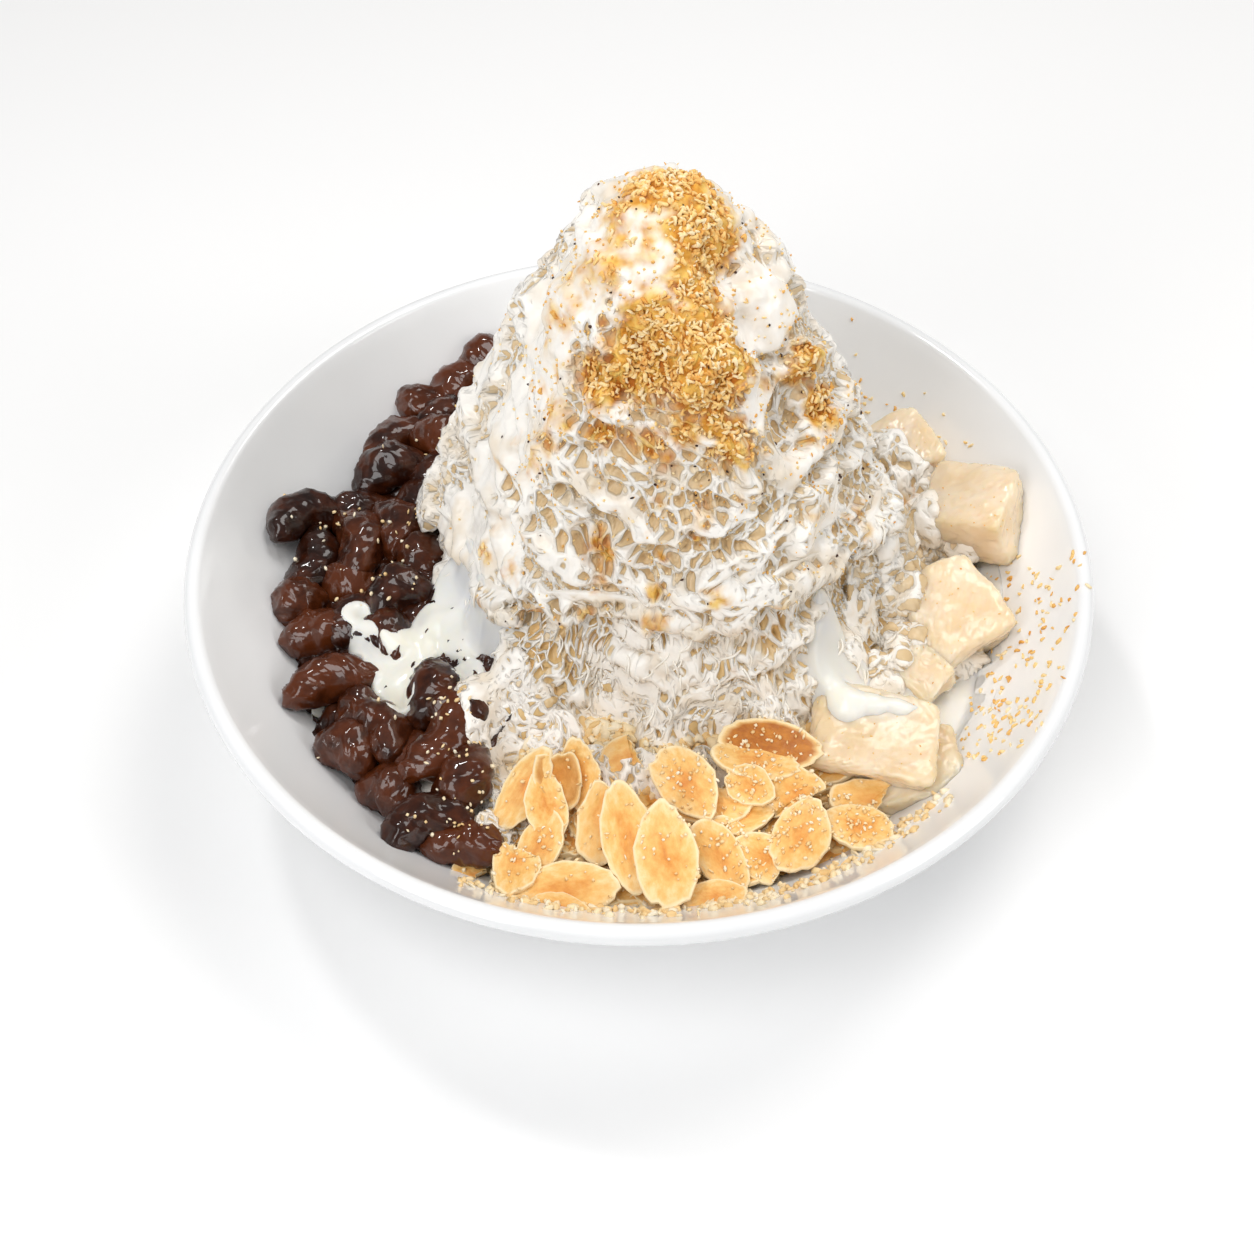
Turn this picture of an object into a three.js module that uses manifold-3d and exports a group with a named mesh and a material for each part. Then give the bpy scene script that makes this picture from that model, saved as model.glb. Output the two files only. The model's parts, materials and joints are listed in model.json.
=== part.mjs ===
// Bingsu: a peak of shaved ice under poured cream, in a footed bowl, ringed by sweet red beans,
// toasted almond slices and cubes of rice cake, with milk pooled between them.
// Millimetres, +Z up. The origin is the centre of the circle that the foot stands on, and the
// dessert's front is towards -Y. Azimuths are degrees about +Z from +X, so the front is at 270.
import * as THREE from "three";
import { mergeVertices } from "three/addons/utils/BufferGeometryUtils.js";
import Module from "manifold-3d";

const wasm = await Module();
wasm.setup();

// ---- Driving dimensions ----
const RIM_RADIUS = 90;
const BOWL_HEIGHT = 46;
const WALL = 3.8;
const FLOOR_RADIUS = 38; // where the flat floor turns up into the wall
const FOOT_HEIGHT = 4.4;
const FOOT_OUTER = 41;
const FOOT_WIDTH = 4;

const PEAK = { x: 4, y: 5, top: 128, foot: 14, footRadius: 51.5 }; // a paraboloid before its relief
const ICE_LEVEL = 20; // top of the ice that fills the bowl under the toppings
const MILK_LEVEL = 26;

const BEAN = { width: 10.5, height: 9 };
const BEAN_HEAP = { from: 103, to: 247, inner: 40, outer: 20 }; // azimuths, and heights of its packed core
const ALMOND_HEAP = { from: 246, to: 318, inner: 34, outer: 21 };
const SLICE_THICKNESS = 1.3;
const CAKE_ROUNDING = 0.32; // 0 leaves a cake a box, 1 makes it a ball
const CRUMB_RADIUS = 1.3;

const GAP = 0.35; // clearance between pieces that touch

// ---- Small tools ----
const radians = (degrees) => (degrees * Math.PI) / 180;
const polar = (azimuth, radius) => [
  radius * Math.cos(radians(azimuth)),
  radius * Math.sin(radians(azimuth)),
];

// A seeded generator of numbers from 0 to 1.
function seeded(seed) {
  let state = seed;
  return () => {
    state = (state * 1664525 + 1013904223) % 4294967296;
    return state / 4294967296;
  };
}

// The closed three.js geometry as a manifold-3d solid.
function solid(geometry) {
  const bare = geometry.clone();
  bare.deleteAttribute("normal");
  bare.deleteAttribute("uv");
  const merged = mergeVertices(bare, 1e-3);
  return new wasm.Manifold(
    new wasm.Mesh({
      numProp: 3,
      vertProperties: merged.attributes.position.array,
      triVerts: new Uint32Array(merged.index.array),
    }),
  );
}

const union = (solids) => wasm.Manifold.union(solids);

// The largest body of a solid: booleans can leave loose scraps, which are dropped.
function largest(cut) {
  const bodies = cut.decompose();
  return bodies.reduce((best, body) => (body.volume() > best.volume() ? body : best));
}

function meshOf(name, made, material) {
  const { vertProperties, triVerts } = largest(made).getMesh();
  const geometry = new THREE.BufferGeometry();
  geometry.setAttribute("position", new THREE.BufferAttribute(vertProperties, 3));
  geometry.setIndex(new THREE.BufferAttribute(triVerts, 1));
  geometry.computeVertexNormals();
  const mesh = new THREE.Mesh(geometry, material);
  mesh.name = name;
  return mesh;
}

// A geometry from lists of points and of triangles.
function facetted(points, faces) {
  const geometry = new THREE.BufferGeometry();
  geometry.setAttribute("position", new THREE.Float32BufferAttribute(points.flat(), 3));
  geometry.setIndex(faces.flat());
  return geometry;
}

// Moves each vertex of a geometry to place(vertex), in the geometry itself.
function reshape(geometry, place) {
  const position = geometry.getAttribute("position");
  const vertex = new THREE.Vector3();
  for (let i = 0; i < position.count; i++) {
    vertex.fromBufferAttribute(position, i);
    place(vertex);
    position.setXYZ(i, vertex.x, vertex.y, vertex.z);
  }
  return geometry;
}

const LATHE_SEGMENTS = 36;
const lathe = (outline) =>
  new THREE.LatheGeometry(
    outline.map(([radius, z]) => new THREE.Vector2(radius, z)),
    LATHE_SEGMENTS,
  ).rotateX(Math.PI / 2);

// ---- Bowl ----
const LIP_RADIUS = RIM_RADIUS - WALL / 2; // the end of the wall's centre line, round which the lip is rounded
const LIP_Z = BOWL_HEIGHT - WALL / 2;
const FLOOR_MIDDLE = FOOT_HEIGHT + WALL / 2;

// A point beside the wall's centre line, which is flat to FLOOR_RADIUS and then a parabola up to the
// lip. The offset is along the normal, positive towards the inside.
function wallPoint(radius, offset) {
  const run = LIP_RADIUS - FLOOR_RADIUS;
  const along = Math.max(0, radius - FLOOR_RADIUS) / run;
  const rise = LIP_Z - FLOOR_MIDDLE;
  const lean = Math.atan((2 * rise * along) / run);
  return [
    radius - Math.sin(lean) * offset,
    FLOOR_MIDDLE + rise * along * along + Math.cos(lean) * offset,
  ];
}

function wallLine(offset, steps) {
  const points = [];
  for (let i = 0; i <= steps; i++) {
    points.push(wallPoint(FLOOR_RADIUS + ((LIP_RADIUS - FLOOR_RADIUS) * i) / steps, offset));
  }
  return points;
}

function bowl() {
  const edge = 0.6; // the bevel round the foot's ring
  const footInner = FOOT_OUTER - FOOT_WIDTH;
  const outer = wallLine(-WALL / 2, 7).filter(([radius]) => radius > FOOT_OUTER + 1);
  const inner = wallLine(WALL / 2, 7);
  const [outR, outZ] = outer[outer.length - 1];
  const start = Math.atan2(outZ - LIP_Z, outR - LIP_RADIUS);
  const lip = [1, 2, 3, 4, 5].map((step) => {
    const angle = start + (Math.PI * step) / 6;
    return [
      LIP_RADIUS + (WALL / 2) * Math.cos(angle),
      LIP_Z + (WALL / 2) * Math.sin(angle),
    ];
  });
  const outline = [
    [0, FOOT_HEIGHT],
    [footInner - edge, FOOT_HEIGHT],
    [footInner, edge],
    [footInner + edge, 0],
    [FOOT_OUTER - edge, 0],
    [FOOT_OUTER, edge],
    [FOOT_OUTER + edge, FOOT_HEIGHT],
    ...outer,
    ...lip,
    ...inner.reverse(),
    [0, FLOOR_MIDDLE + WALL / 2],
  ];
  return solid(lathe(outline));
}

// The room that the food may take: the bowl's inside, a gap off its wall, and the space above it.
function cavity() {
  const inner = wallLine(WALL / 2 + GAP, 5);
  const [mouth] = inner[inner.length - 1];
  const outline = [
    [0, inner[0][1]],
    ...inner,
    [mouth, PEAK.top + 20],
    [0, PEAK.top + 20],
  ];
  return solid(lathe(outline));
}

// ---- Shaved ice ----
// Waves that make the mound uneven: size in millimetres, crests round it, climb in radians a
// millimetre up, and phase.
const WAVES = [
  { size: 0.8, around: 1, climb: 0.03, phase: 5.5 },
  { size: 2.0, around: 2, climb: 0.026, phase: 1.74 },
  { size: 0.6, around: 3, climb: 0.04, phase: 4.5 },
  { size: 1.8, around: 5, climb: 0.018, phase: 5.7 },
  { size: 0.7, around: 8, climb: 0.16, phase: 1.0 },
];
// The upper ice overhangs a skirt along a wavy edge, which is highest towards one azimuth.
const LEDGE = { z: 47, rise: 15, towards: 290, wave: 2, scallops: 6, step: 3 };
const SKIRT = { z: 22, spread: 11, reach: 6 }; // the skirt runs out over the ice in the bowl
// Folds of the poured cream along lines from [azimuth, z] to [azimuth, z], out or into the mound.
const FOLDS = [
  { from: [318, 118], to: [322, 90], width: 5, out: -3 },
  { from: [340, 112], to: [335, 84], width: 7, out: 1.5 },
  { from: [214, 96], to: [214, 62], width: 5, out: -2.5 },
  { from: [352, 47], to: [350, 28], width: 12, out: 7 },
  { from: [236, 44], to: [233, 30], width: 7, out: 4 },
];

const fadeIn = (value, from, to) => THREE.MathUtils.smoothstep(value, from, to);

// How far a fold lifts the mound's side at a height, azimuth in radians and radius.
function foldRelief({ from, to, width, out }, z, azimuth, radius) {
  const along = THREE.MathUtils.clamp((z - from[1]) / (to[1] - from[1]), 0, 1);
  const turn = azimuth - radians(THREE.MathUtils.lerp(from[0], to[0], along));
  const sideways = radius * Math.atan2(Math.sin(turn), Math.cos(turn));
  const upwards = z - THREE.MathUtils.lerp(from[1], to[1], along);
  return out * Math.exp(-(sideways ** 2 + upwards ** 2) / width ** 2);
}

// How far the mound's side stands out from its paraboloid.
function sideRelief(z, azimuth, radius) {
  let waves = 0;
  for (const wave of WAVES) {
    waves += wave.size * Math.sin(wave.around * azimuth + wave.climb * z + wave.phase);
  }
  const edge =
    LEDGE.z +
    LEDGE.rise * Math.cos(azimuth - radians(LEDGE.towards)) +
    LEDGE.wave * Math.sin(LEDGE.scallops * azimuth + 1);
  const recess = LEDGE.step * (1 - fadeIn(z, edge - 2, edge + 2));
  const skirt = SKIRT.reach * Math.exp(-Math.abs(z - SKIRT.z) / SKIRT.spread);
  let folds = 0;
  for (const fold of FOLDS) folds += foldRelief(fold, z, azimuth, radius);
  return waves * fadeIn(PEAK.top - z, 0, 25) - recess + skirt + folds;
}

const hash = (x, y, z) => {
  const value = Math.sin(x * 127.1 + y * 311.7 + z * 74.7) * 43758.5453;
  return value - Math.floor(value);
};

// Worley noise: the distance to the nearest of the jittered cell centres, in cells.
function cellDistance(x, y, z) {
  let nearest = 9;
  for (let i = Math.floor(x) - 1; i <= Math.floor(x) + 1; i++)
    for (let j = Math.floor(y) - 1; j <= Math.floor(y) + 1; j++)
      for (let k = Math.floor(z) - 1; k <= Math.floor(z) + 1; k++) {
        const dx = i + hash(i, j, k) - x;
        const dy = j + hash(j, k, i) - y;
        const dz = k + hash(k, i, j) - z;
        nearest = Math.min(nearest, Math.hypot(dx, dy, dz));
      }
  return nearest;
}

const PIT = { cell: 8.5, depth: 2.4 }; // melted hollows between the threads of ice
const pitDepth = (p) =>
  PIT.depth * (1 - fadeIn(cellDistance(p.x / PIT.cell, p.y / PIT.cell, p.z / PIT.cell), 0.1, 0.6));

// The mound from an icosphere: equal bands of the sphere become equal bands of the paraboloid, so
// that the faces come out alike in size. The lowest band makes the flat underside.
const MOUND_DETAIL = 10;
const UNDERSIDE_SHARE = 0.04;
function mound(grow) {
  const { x, y, top, foot, footRadius: R } = PEAK;
  const drop = top - foot;
  const whole = (R * R + 4 * drop * drop) ** 1.5 - R ** 3;
  return solid(
    reshape(new THREE.IcosahedronGeometry(1, MOUND_DETAIL), (v) => {
      const below = THREE.MathUtils.clamp((1 + v.z) / 2, 0, 1); // the share of the sphere below
      const azimuth = Math.atan2(v.y, v.x);
      if (below < UNDERSIDE_SHARE) {
        const radius = (R + SKIRT.reach) * Math.sqrt(below / UNDERSIDE_SHARE) * 0.9;
        v.set(x + radius * Math.cos(azimuth), y + radius * Math.sin(azimuth), foot);
        return;
      }
      const share = (1 - below) / (1 - UNDERSIDE_SHARE);
      const reach = (share * whole + R ** 3) ** (2 / 3) - R * R;
      const t = Math.sqrt(Math.max(0, reach)) / (2 * drop);
      const z = top - drop * t * t;
      const steep = Math.atan2(2 * drop * t, R);
      v.set(x + R * t * Math.cos(azimuth), y + R * t * Math.sin(azimuth), z);
      const out = grow + sideRelief(z, azimuth, R * t) - pitDepth(v);
      v.x += out * Math.sin(steep) * Math.cos(azimuth);
      v.y += out * Math.sin(steep) * Math.sin(azimuth);
      v.z += out * Math.cos(steep);
    }),
  );
}

// The ice that fills the bowl under the toppings.
function iceBed(grow) {
  const disc = new THREE.CylinderGeometry(RIM_RADIUS, RIM_RADIUS, ICE_LEVEL, 36, 1).rotateX(Math.PI / 2);
  disc.translate(0, 0, ICE_LEVEL / 2 + grow);
  return solid(disc);
}

// A puddle of cream with rounded lobes, thick in its middle.
function creamPuddle({ at, radii, thickness, lobes, turn }, grow = 0) {
  return solid(
    reshape(new THREE.SphereGeometry(1, 16, 6).rotateX(Math.PI / 2), (v) => {
      const azimuth = Math.atan2(v.y, v.x);
      const reach = 1 + 0.22 * Math.sin(lobes * azimuth + 1) + 0.1 * Math.sin((lobes + 2) * azimuth);
      v.set(
        v.x * (reach * radii[0] + grow),
        v.y * (reach * radii[1] + grow),
        v.z * (thickness + grow),
      );
    })
      .rotateX(radians(turn[0]))
      .rotateY(radians(turn[1]))
      .rotateZ(radians(turn[2]))
      .translate(...at),
  );
}

// The runs of cream that flow down between the beans and the almonds, and off the mound onto the beans.
const RUNS = [
  { at: [-23, -45, 36], radii: [16, 6.5], thickness: 5, lobes: 1, turn: [0, -16, 68] },
  { at: [-36, -19, 34.5], radii: [14, 8], thickness: 6, lobes: 1, turn: [0, -6, 62] },
];

// Clumps of roasted soybean powder that stand on the crown and run down the front.
const POWDER = { clumps: 18, azimuth: 272, spread: 70, lowest: 92 };
function powderClumps() {
  const next = seeded(5);
  const drop = PEAK.top - PEAK.foot;
  const clumps = [];
  for (let i = 0; i < POWDER.clumps; i++) {
    const share = i / POWDER.clumps;
    const z = PEAK.top - (PEAK.top - POWDER.lowest) * share ** 0.8;
    const azimuth = radians(POWDER.azimuth + (next() - 0.5) * 2 * POWDER.spread * (1 - 0.55 * share));
    const t = Math.sqrt((PEAK.top - z) / drop);
    const out = PEAK.footRadius * t + sideRelief(z, azimuth, PEAK.footRadius * t);
    const size = CRUMB_RADIUS * (0.85 + 0.5 * next());
    const clump = new THREE.IcosahedronGeometry(size, 0).rotateX(next() * 6).rotateZ(next() * 6);
    clump.scale(1.2, 1, 0.8);
    clump.translate(PEAK.x + out * Math.cos(azimuth), PEAK.y + out * Math.sin(azimuth), z);
    clumps.push(solid(clump));
  }
  return union(clumps);
}

// ---- Heaps ----
// A packed core under the pieces that show: a sector of the bowl between two azimuths, whose top
// falls from the mound to the wall.
const CORE = { inner: 30, bottom: 10, segments: 9 };
function heapCore({ from, to, inner, outer }, grow) {
  const points = [];
  const faces = [];
  for (let i = 0; i <= CORE.segments; i++) {
    const azimuth = THREE.MathUtils.lerp(from, to, i / CORE.segments);
    const near = polar(azimuth, CORE.inner);
    const far = polar(azimuth, RIM_RADIUS);
    points.push([...near, CORE.bottom], [...far, CORE.bottom]);
    points.push([...far, outer + grow], [...near, inner + grow]);
  }
  for (let i = 0; i < CORE.segments; i++) {
    for (let j = 0; j < 4; j++) {
      const a = 4 * i + j;
      const b = 4 * i + ((j + 1) % 4);
      faces.push([a, a + 4, b], [b, a + 4, b + 4]);
    }
  }
  const end = 4 * CORE.segments;
  faces.push([0, 1, 2], [0, 2, 3], [end, end + 2, end + 1], [end, end + 3, end + 2]);
  return solid(facetted(points, faces));
}

// A kidney bean: a long ball with a bend and a dent in its inner side.
function bean(length, grow) {
  const bend = 0.16 * length;
  const ball = new THREE.SphereGeometry(1, 6, 5).rotateZ(Math.PI / 2);
  return reshape(ball, (v) => {
    const dent = 1 - 0.18 * Math.exp(-9 * v.x * v.x) * Math.max(0, -v.y);
    v.set(
      v.x * (length / 2 + grow),
      v.y * dent * (BEAN.width / 2 + grow) - bend * v.x * v.x + bend / 3,
      v.z * (BEAN.height / 2 + grow),
    );
  });
}

// The beans that show: the middle's x, y and z, the yaw and pitch of the long side, and the length.
const BEANS = [
  [-34, 66, 34, 24, 14, 15], [-41, 60, 32, 39, 12, 16], [-49, 54, 31, 80, 10, 12],
  [-43, 50, 32, 22, -5, 13], [-53, 43, 31, 37, -8, 19], [-44, 41, 33, -32, 10, 14],
  [-54, 33, 32, 24, 7, 18], [-71, 18, 33, 46, -22, 20], [-51, 15, 33, -76, 8, 18],
  [-59, 12, 32, -78, 6, 21], [-68, 8, 30, -100, -3, 19], [-49, -4, 34, 21, 15, 14],
  [-66, -10, 29, 16, 12, 14], [-61, -24, 31, 21, 0, 19], [-56, -40, 30, -36, 10, 15],
  [-49, -37, 32, -56, 0, 16], [-40, -30, 35, -101, -13, 14], [-34, -34, 36, -6, 10, 13],
  [-37, -41, 35, -121, -14, 21], [-33, -49, 33, -119, -20, 16], [-47, -49, 29, -37, 8, 13],
  [-39, -58, 32, 19, 0, 18], [-32, -61, 30, -9, 10, 15], [-51, -14, 32, -33, 12, 14],
];
const UNDER_BEANS = { count: 2, radii: [56, 68], length: 16 };

// The height of a heap's core at a distance from the bowl's axis.
const coreHeight = ({ inner, outer }, radius) =>
  THREE.MathUtils.mapLinear(radius, CORE.inner, RIM_RADIUS, inner, outer);

// Places for the pieces of an under layer, spread over a heap by turns on the given radii.
function underPlaces(heap, { count, radii }) {
  const places = [];
  for (let i = 0; i < count; i++) {
    const radius = radii[i % radii.length];
    const azimuth = THREE.MathUtils.lerp(heap.from, heap.to, (i + 0.5) / count);
    places.push([...polar(azimuth, radius), coreHeight(heap, radius)]);
  }
  return places;
}

function beanHeap(grow = 0) {
  const next = seeded(11);
  const shown = BEANS.map(([x, y, z, yaw, pitch, length]) =>
    bean(length, grow)
      .rotateX(radians(-50 + 100 * next()))
      .rotateY(radians(-pitch))
      .rotateZ(radians(yaw))
      .translate(x, y, z),
  );
  const under = underPlaces(BEAN_HEAP, UNDER_BEANS).map(([x, y, z]) =>
    bean(UNDER_BEANS.length, grow)
      .rotateX(next() * 6)
      .rotateZ(next() * 6)
      .translate(x, y, z + 0.8),
  );
  return union([heapCore(BEAN_HEAP, grow), ...[...shown, ...under].map(solid)]);
}

// An almond slice: a thin pointed oval, cupped along its length, with both faces split alike.
function almondSlice(length, width, grow) {
  const corners = 8;
  const half = SLICE_THICKNESS / 2 + grow;
  const cup = 0.09 * width;
  const rim = [];
  for (let i = 0; i < corners; i++) {
    const angle = (2 * Math.PI * i) / corners;
    const along = Math.cos(angle);
    const point = 1 - 0.28 * Math.max(0, along); // narrower towards the pointed end
    rim.push([along * (length / 2 + grow), Math.sin(angle) * point * (width / 2 + grow)]);
  }
  const points = [];
  for (const side of [1, -1]) {
    points.push([0, 0, side * half - cup]);
    for (const [x, y] of rim) points.push([x, y, side * half + (cup * x * x * 4) / length ** 2]);
  }
  const faces = [];
  const below = corners + 1;
  for (let i = 0; i < corners; i++) {
    const a = 1 + i;
    const b = 1 + ((i + 1) % corners);
    faces.push([0, a, b], [below, below + b, below + a]);
    faces.push([a, below + a, b], [b, below + a, below + b]);
  }
  return facetted(points, faces);
}

// The slices that show: the middle's x, y and z, the yaw of the pointed end, the roll about the long
// side, the pitch of the long side, the length and the width.
const SLICES = [
  [-21, -52, 35, 49, 16, 36, 18, 8], [-15, -50, 37, 104, 2, 42, 15, 9], [-11, -49, 35, 102, -4, 39, 14, 8],
  [-17, -55, 34, 103, -4, 31, 14, 8], [-22, -66, 32, 81, 5, 1, 15, 9], [-18, -62, 31, 64, 3, 16, 14, 8],
  [-13, -71, 30, 8, 17, -2, 20, 11], [-5, -57, 35, 65, 11, 36, 22, 11], [-2, -62, 34, 103, -6, 27, 21, 10],
  [5, -66, 34, 96, -4, 17, 20, 12], [-1, -44, 32.8, 10, 22, 18, 14, 10], [9, -51, 35, -50, 19, -14, 16, 11],
  [15, -64, 30, -55, 12, -19, 16, 9], [18, -62, 29, -62, 9, -20, 14, 8], [25, -43, 36, -8, 33, -5, 20, 10],
  [22, -46, 35, -7, 11, -9, 17, 8], [30, -52, 32, -34, 19, -10, 15, 11], [30, -60, 31, 62, 5, 21, 15, 11],
  [41, -58, 31, -23, 10, 9, 14, 9], [44, -51, 29, 1, 13, -7, 17, 9], [13, -54, 32, -5, 10, -2, 17, 8],
  [19, -56, 31, 11, 9, -2, 13, 7], [24, -64, 29, -31, 15, -13, 14, 9], [21, -51, 34, -28, 19, -4, 10, 8],
  [14, -72, 29, 5, 9, 7, 12, 7], [-30, -67, 28, -23, 8, -2, 9, 5], [-14, -75, 31, -11, 6, 1, 11, 5],
];
const UNDER_SLICES = { count: 2, radii: [55, 69], length: 16, width: 10 };

function almondHeap(grow = 0) {
  const next = seeded(29);
  const shown = SLICES.map(([x, y, z, yaw, roll, pitch, length, width]) =>
    almondSlice(length, width, grow)
      .rotateX(radians(roll))
      .rotateY(radians(-pitch))
      .rotateZ(radians(yaw))
      .translate(x, y, z),
  );
  const under = underPlaces(ALMOND_HEAP, UNDER_SLICES).map(([x, y, z]) =>
    almondSlice(UNDER_SLICES.length, UNDER_SLICES.width, grow)
      .rotateX(radians(-25 + 50 * next()))
      .rotateY(radians(12 + 18 * next()))
      .rotateZ(next() * 6)
      .translate(x, y, z + 1.2),
  );
  return union([heapCore(ALMOND_HEAP, grow), ...[...shown, ...under].map(solid)]);
}

// ---- Rice cakes ----
// Each is a box with rounded, sagging corners: its middle, its sides and its turns in degrees.
const CAKES = [
  { at: [70, 17, 36], size: [20, 17, 12], turn: [8, -22, -28] },
  { at: [63, -8, 32], size: [18, 19, 13], turn: [14, -12, 24] },
  { at: [45, -39, 33], size: [23, 17, 7], turn: [10, 4, -12] },
  { at: [52, -43, 27], size: [20, 15, 7], turn: [6, -8, 10] },
  { at: [56, -22, 31], size: [9, 11, 6], turn: [12, -10, 40] },
  { at: [56, 36, 32], size: [18, 16, 11], turn: [0, -14, 20] },
];

function riceCake({ at, size, turn }, grow) {
  const box = new THREE.BoxGeometry(1, 1, 1, 3, 3, 2);
  const [sx, sy, sz] = size;
  return solid(
    reshape(box, (v) => {
      const ball = v.clone().normalize().multiplyScalar(0.62);
      v.lerp(ball, CAKE_ROUNDING);
      const swell = 0.05 * Math.sin(at[0] + 5 * v.x + 4 * v.y) + 0.04 * Math.cos(at[1] + 6 * v.z - 3 * v.x);
      v.multiplyScalar(1 + swell);
      v.set(v.x * (sx + 2 * grow), v.y * (sy + 2 * grow), v.z * (sz + 2 * grow));
    })
      .rotateX(radians(turn[0]))
      .rotateY(radians(turn[1]))
      .rotateZ(radians(turn[2]))
      .translate(...at),
  );
}

// ---- Milk and cream ----
// A flat pool between two azimuths, up to MILK_LEVEL.
function milkPool() {
  const shape = new THREE.Shape();
  shape.absarc(0, 0, RIM_RADIUS, radians(-44), radians(BEAN_HEAP.from + 2), false);
  shape.absarc(0, 0, 40, radians(BEAN_HEAP.from + 2), radians(-44), true);
  const pool = new THREE.ExtrudeGeometry(shape, {
    depth: MILK_LEVEL - ICE_LEVEL - GAP,
    bevelEnabled: false,
    curveSegments: 9,
  });
  return solid(pool.translate(0, 0, ICE_LEVEL + GAP));
}

const SPILL = { at: [-47, -17, 34], radii: [14, 11], thickness: 5, lobes: 3, turn: [8, -16, 10] };
const TONGUE = { at: [45, -25, 36], radii: [12, 7], thickness: 4, lobes: 2, turn: [8, 16, -20] };

// ---- Materials ----
const finish = (color, roughness) => new THREE.MeshStandardMaterial({ color, roughness, metalness: 0 });
const PORCELAIN = finish(0xf3f2ef, 0.15);
const ICE = finish(0xf1ece2, 0.4);
const BEAN_SKIN = finish(0x4a2213, 0.2);
const ALMOND = finish(0xe8bf80, 0.6);
const CAKE = finish(0xf0dfbd, 0.4);
const MILK = finish(0xfaf6ec, 0.2);

// ---- Assembly ----
const room = cavity();
const iceBody = (grow) => union([mound(grow), iceBed(grow), ...RUNS.map((run) => creamPuddle(run, grow))]);
const ice = iceBody(0).intersect(room).add(powderClumps());
const iceCutter = iceBody(1.3 * GAP);

const cakes = [];
CAKES.forEach((cake) => {
  let made = riceCake(cake, 0).intersect(room).subtract(iceCutter);
  CAKES.slice(0, cakes.length).forEach((earlier) => {
    made = made.subtract(riceCake(earlier, GAP));
  });
  cakes.push(made);
});
const cakeCutter = union(CAKES.map((cake) => riceCake(cake, GAP)));

const almonds = almondHeap().intersect(room).subtract(iceCutter).subtract(cakeCutter);
const almondCutter = almondHeap(GAP);
const beans = beanHeap().intersect(room).subtract(iceCutter).subtract(almondCutter);
const beanCutter = beanHeap(GAP);

const trimMilk = (made) =>
  made.intersect(room).subtract(iceCutter).subtract(cakeCutter).subtract(almondCutter).subtract(beanCutter);

const bingsu = new THREE.Group();
bingsu.add(meshOf("bowl", bowl(), PORCELAIN));
bingsu.add(meshOf("shaved_ice", ice, ICE));
bingsu.add(meshOf("sweet_beans", beans, BEAN_SKIN));
bingsu.add(meshOf("almond_slices", almonds, ALMOND));
cakes.forEach((cake, i) => bingsu.add(meshOf("rice_cake_" + (i + 1), cake, CAKE)));
bingsu.add(meshOf("milk_pool", trimMilk(milkPool()), MILK));
bingsu.add(meshOf("cream_spill", trimMilk(creamPuddle(SPILL)), MILK));
bingsu.add(meshOf("cream_tongue", trimMilk(creamPuddle(TONGUE)), MILK));

export default bingsu;
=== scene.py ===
# %% [markdown]
# # A bowl of bingsu
# Bingsu is shaved milk ice piled into a tall peak. Here it stands in a footed porcelain bowl.
# Sweet red beans lie on its left, toasted almond slices in front, rice cakes on its right, and
# roasted soybean powder and thick milk are poured over it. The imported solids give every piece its
# place and size. This scene keeps those places and makes each surface as fine as the real food.

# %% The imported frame
import json
import math

import bmesh
import bpy
import numpy as np
from mathutils import Matrix, Vector
from mathutils.bvhtree import BVHTree

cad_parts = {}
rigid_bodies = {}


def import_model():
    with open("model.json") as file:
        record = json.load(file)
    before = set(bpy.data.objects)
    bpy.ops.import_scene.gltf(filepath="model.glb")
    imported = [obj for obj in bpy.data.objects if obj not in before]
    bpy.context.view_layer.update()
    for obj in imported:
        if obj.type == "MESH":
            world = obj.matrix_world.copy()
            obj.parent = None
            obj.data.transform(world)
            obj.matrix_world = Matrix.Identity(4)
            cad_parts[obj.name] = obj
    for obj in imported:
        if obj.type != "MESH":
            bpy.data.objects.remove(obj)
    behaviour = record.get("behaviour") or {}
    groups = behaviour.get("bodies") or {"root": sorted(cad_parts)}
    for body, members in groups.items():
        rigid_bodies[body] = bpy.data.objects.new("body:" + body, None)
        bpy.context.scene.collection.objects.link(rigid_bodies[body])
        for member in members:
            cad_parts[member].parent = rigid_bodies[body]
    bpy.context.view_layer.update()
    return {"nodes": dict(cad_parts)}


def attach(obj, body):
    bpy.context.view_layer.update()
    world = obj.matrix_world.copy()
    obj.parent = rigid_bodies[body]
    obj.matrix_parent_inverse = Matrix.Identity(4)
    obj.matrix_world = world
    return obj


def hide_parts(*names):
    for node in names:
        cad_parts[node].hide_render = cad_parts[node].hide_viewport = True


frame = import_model()
MM = 0.001
print("solids:", sorted(frame["nodes"]))

# %% [markdown]
# ## Small helpers for nodes
# Colours are known as sRGB hex values, and Blender's shaders want linear ones, so one function
# turns them. Shader trees and Geometry Nodes trees are both lists of nodes with links, so one
# function adds a node of any kind. Where a node is given as an input, its first output is meant.
# A pattern's Scale counts its waves in a metre: 1000 divided by it is their size in millimetres.

# %% Colours and nodes
MATH, VECTOR_MATH, RANGE = "ShaderNodeMath", "ShaderNodeVectorMath", "ShaderNodeMapRange"
NOISE, CELLS, JOINED = "ShaderNodeTexNoise", "ShaderNodeTexVoronoi", "ShaderNodeCombineXYZ"
RAMP, MIX, BUMP, STORED = "ShaderNodeValToRGB", "ShaderNodeMix", "ShaderNodeBump", "ShaderNodeAttribute"


def linear(hex_colour):
    """An sRGB hex colour as linear red, green, blue and alpha."""
    channels = [int(hex_colour[start:start + 2], 16) / 255 for start in (1, 3, 5)]
    return [c / 12.92 if c <= 0.04045 else ((c + 0.055) / 1.055) ** 2.4 for c in channels] + [1.0]


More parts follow.
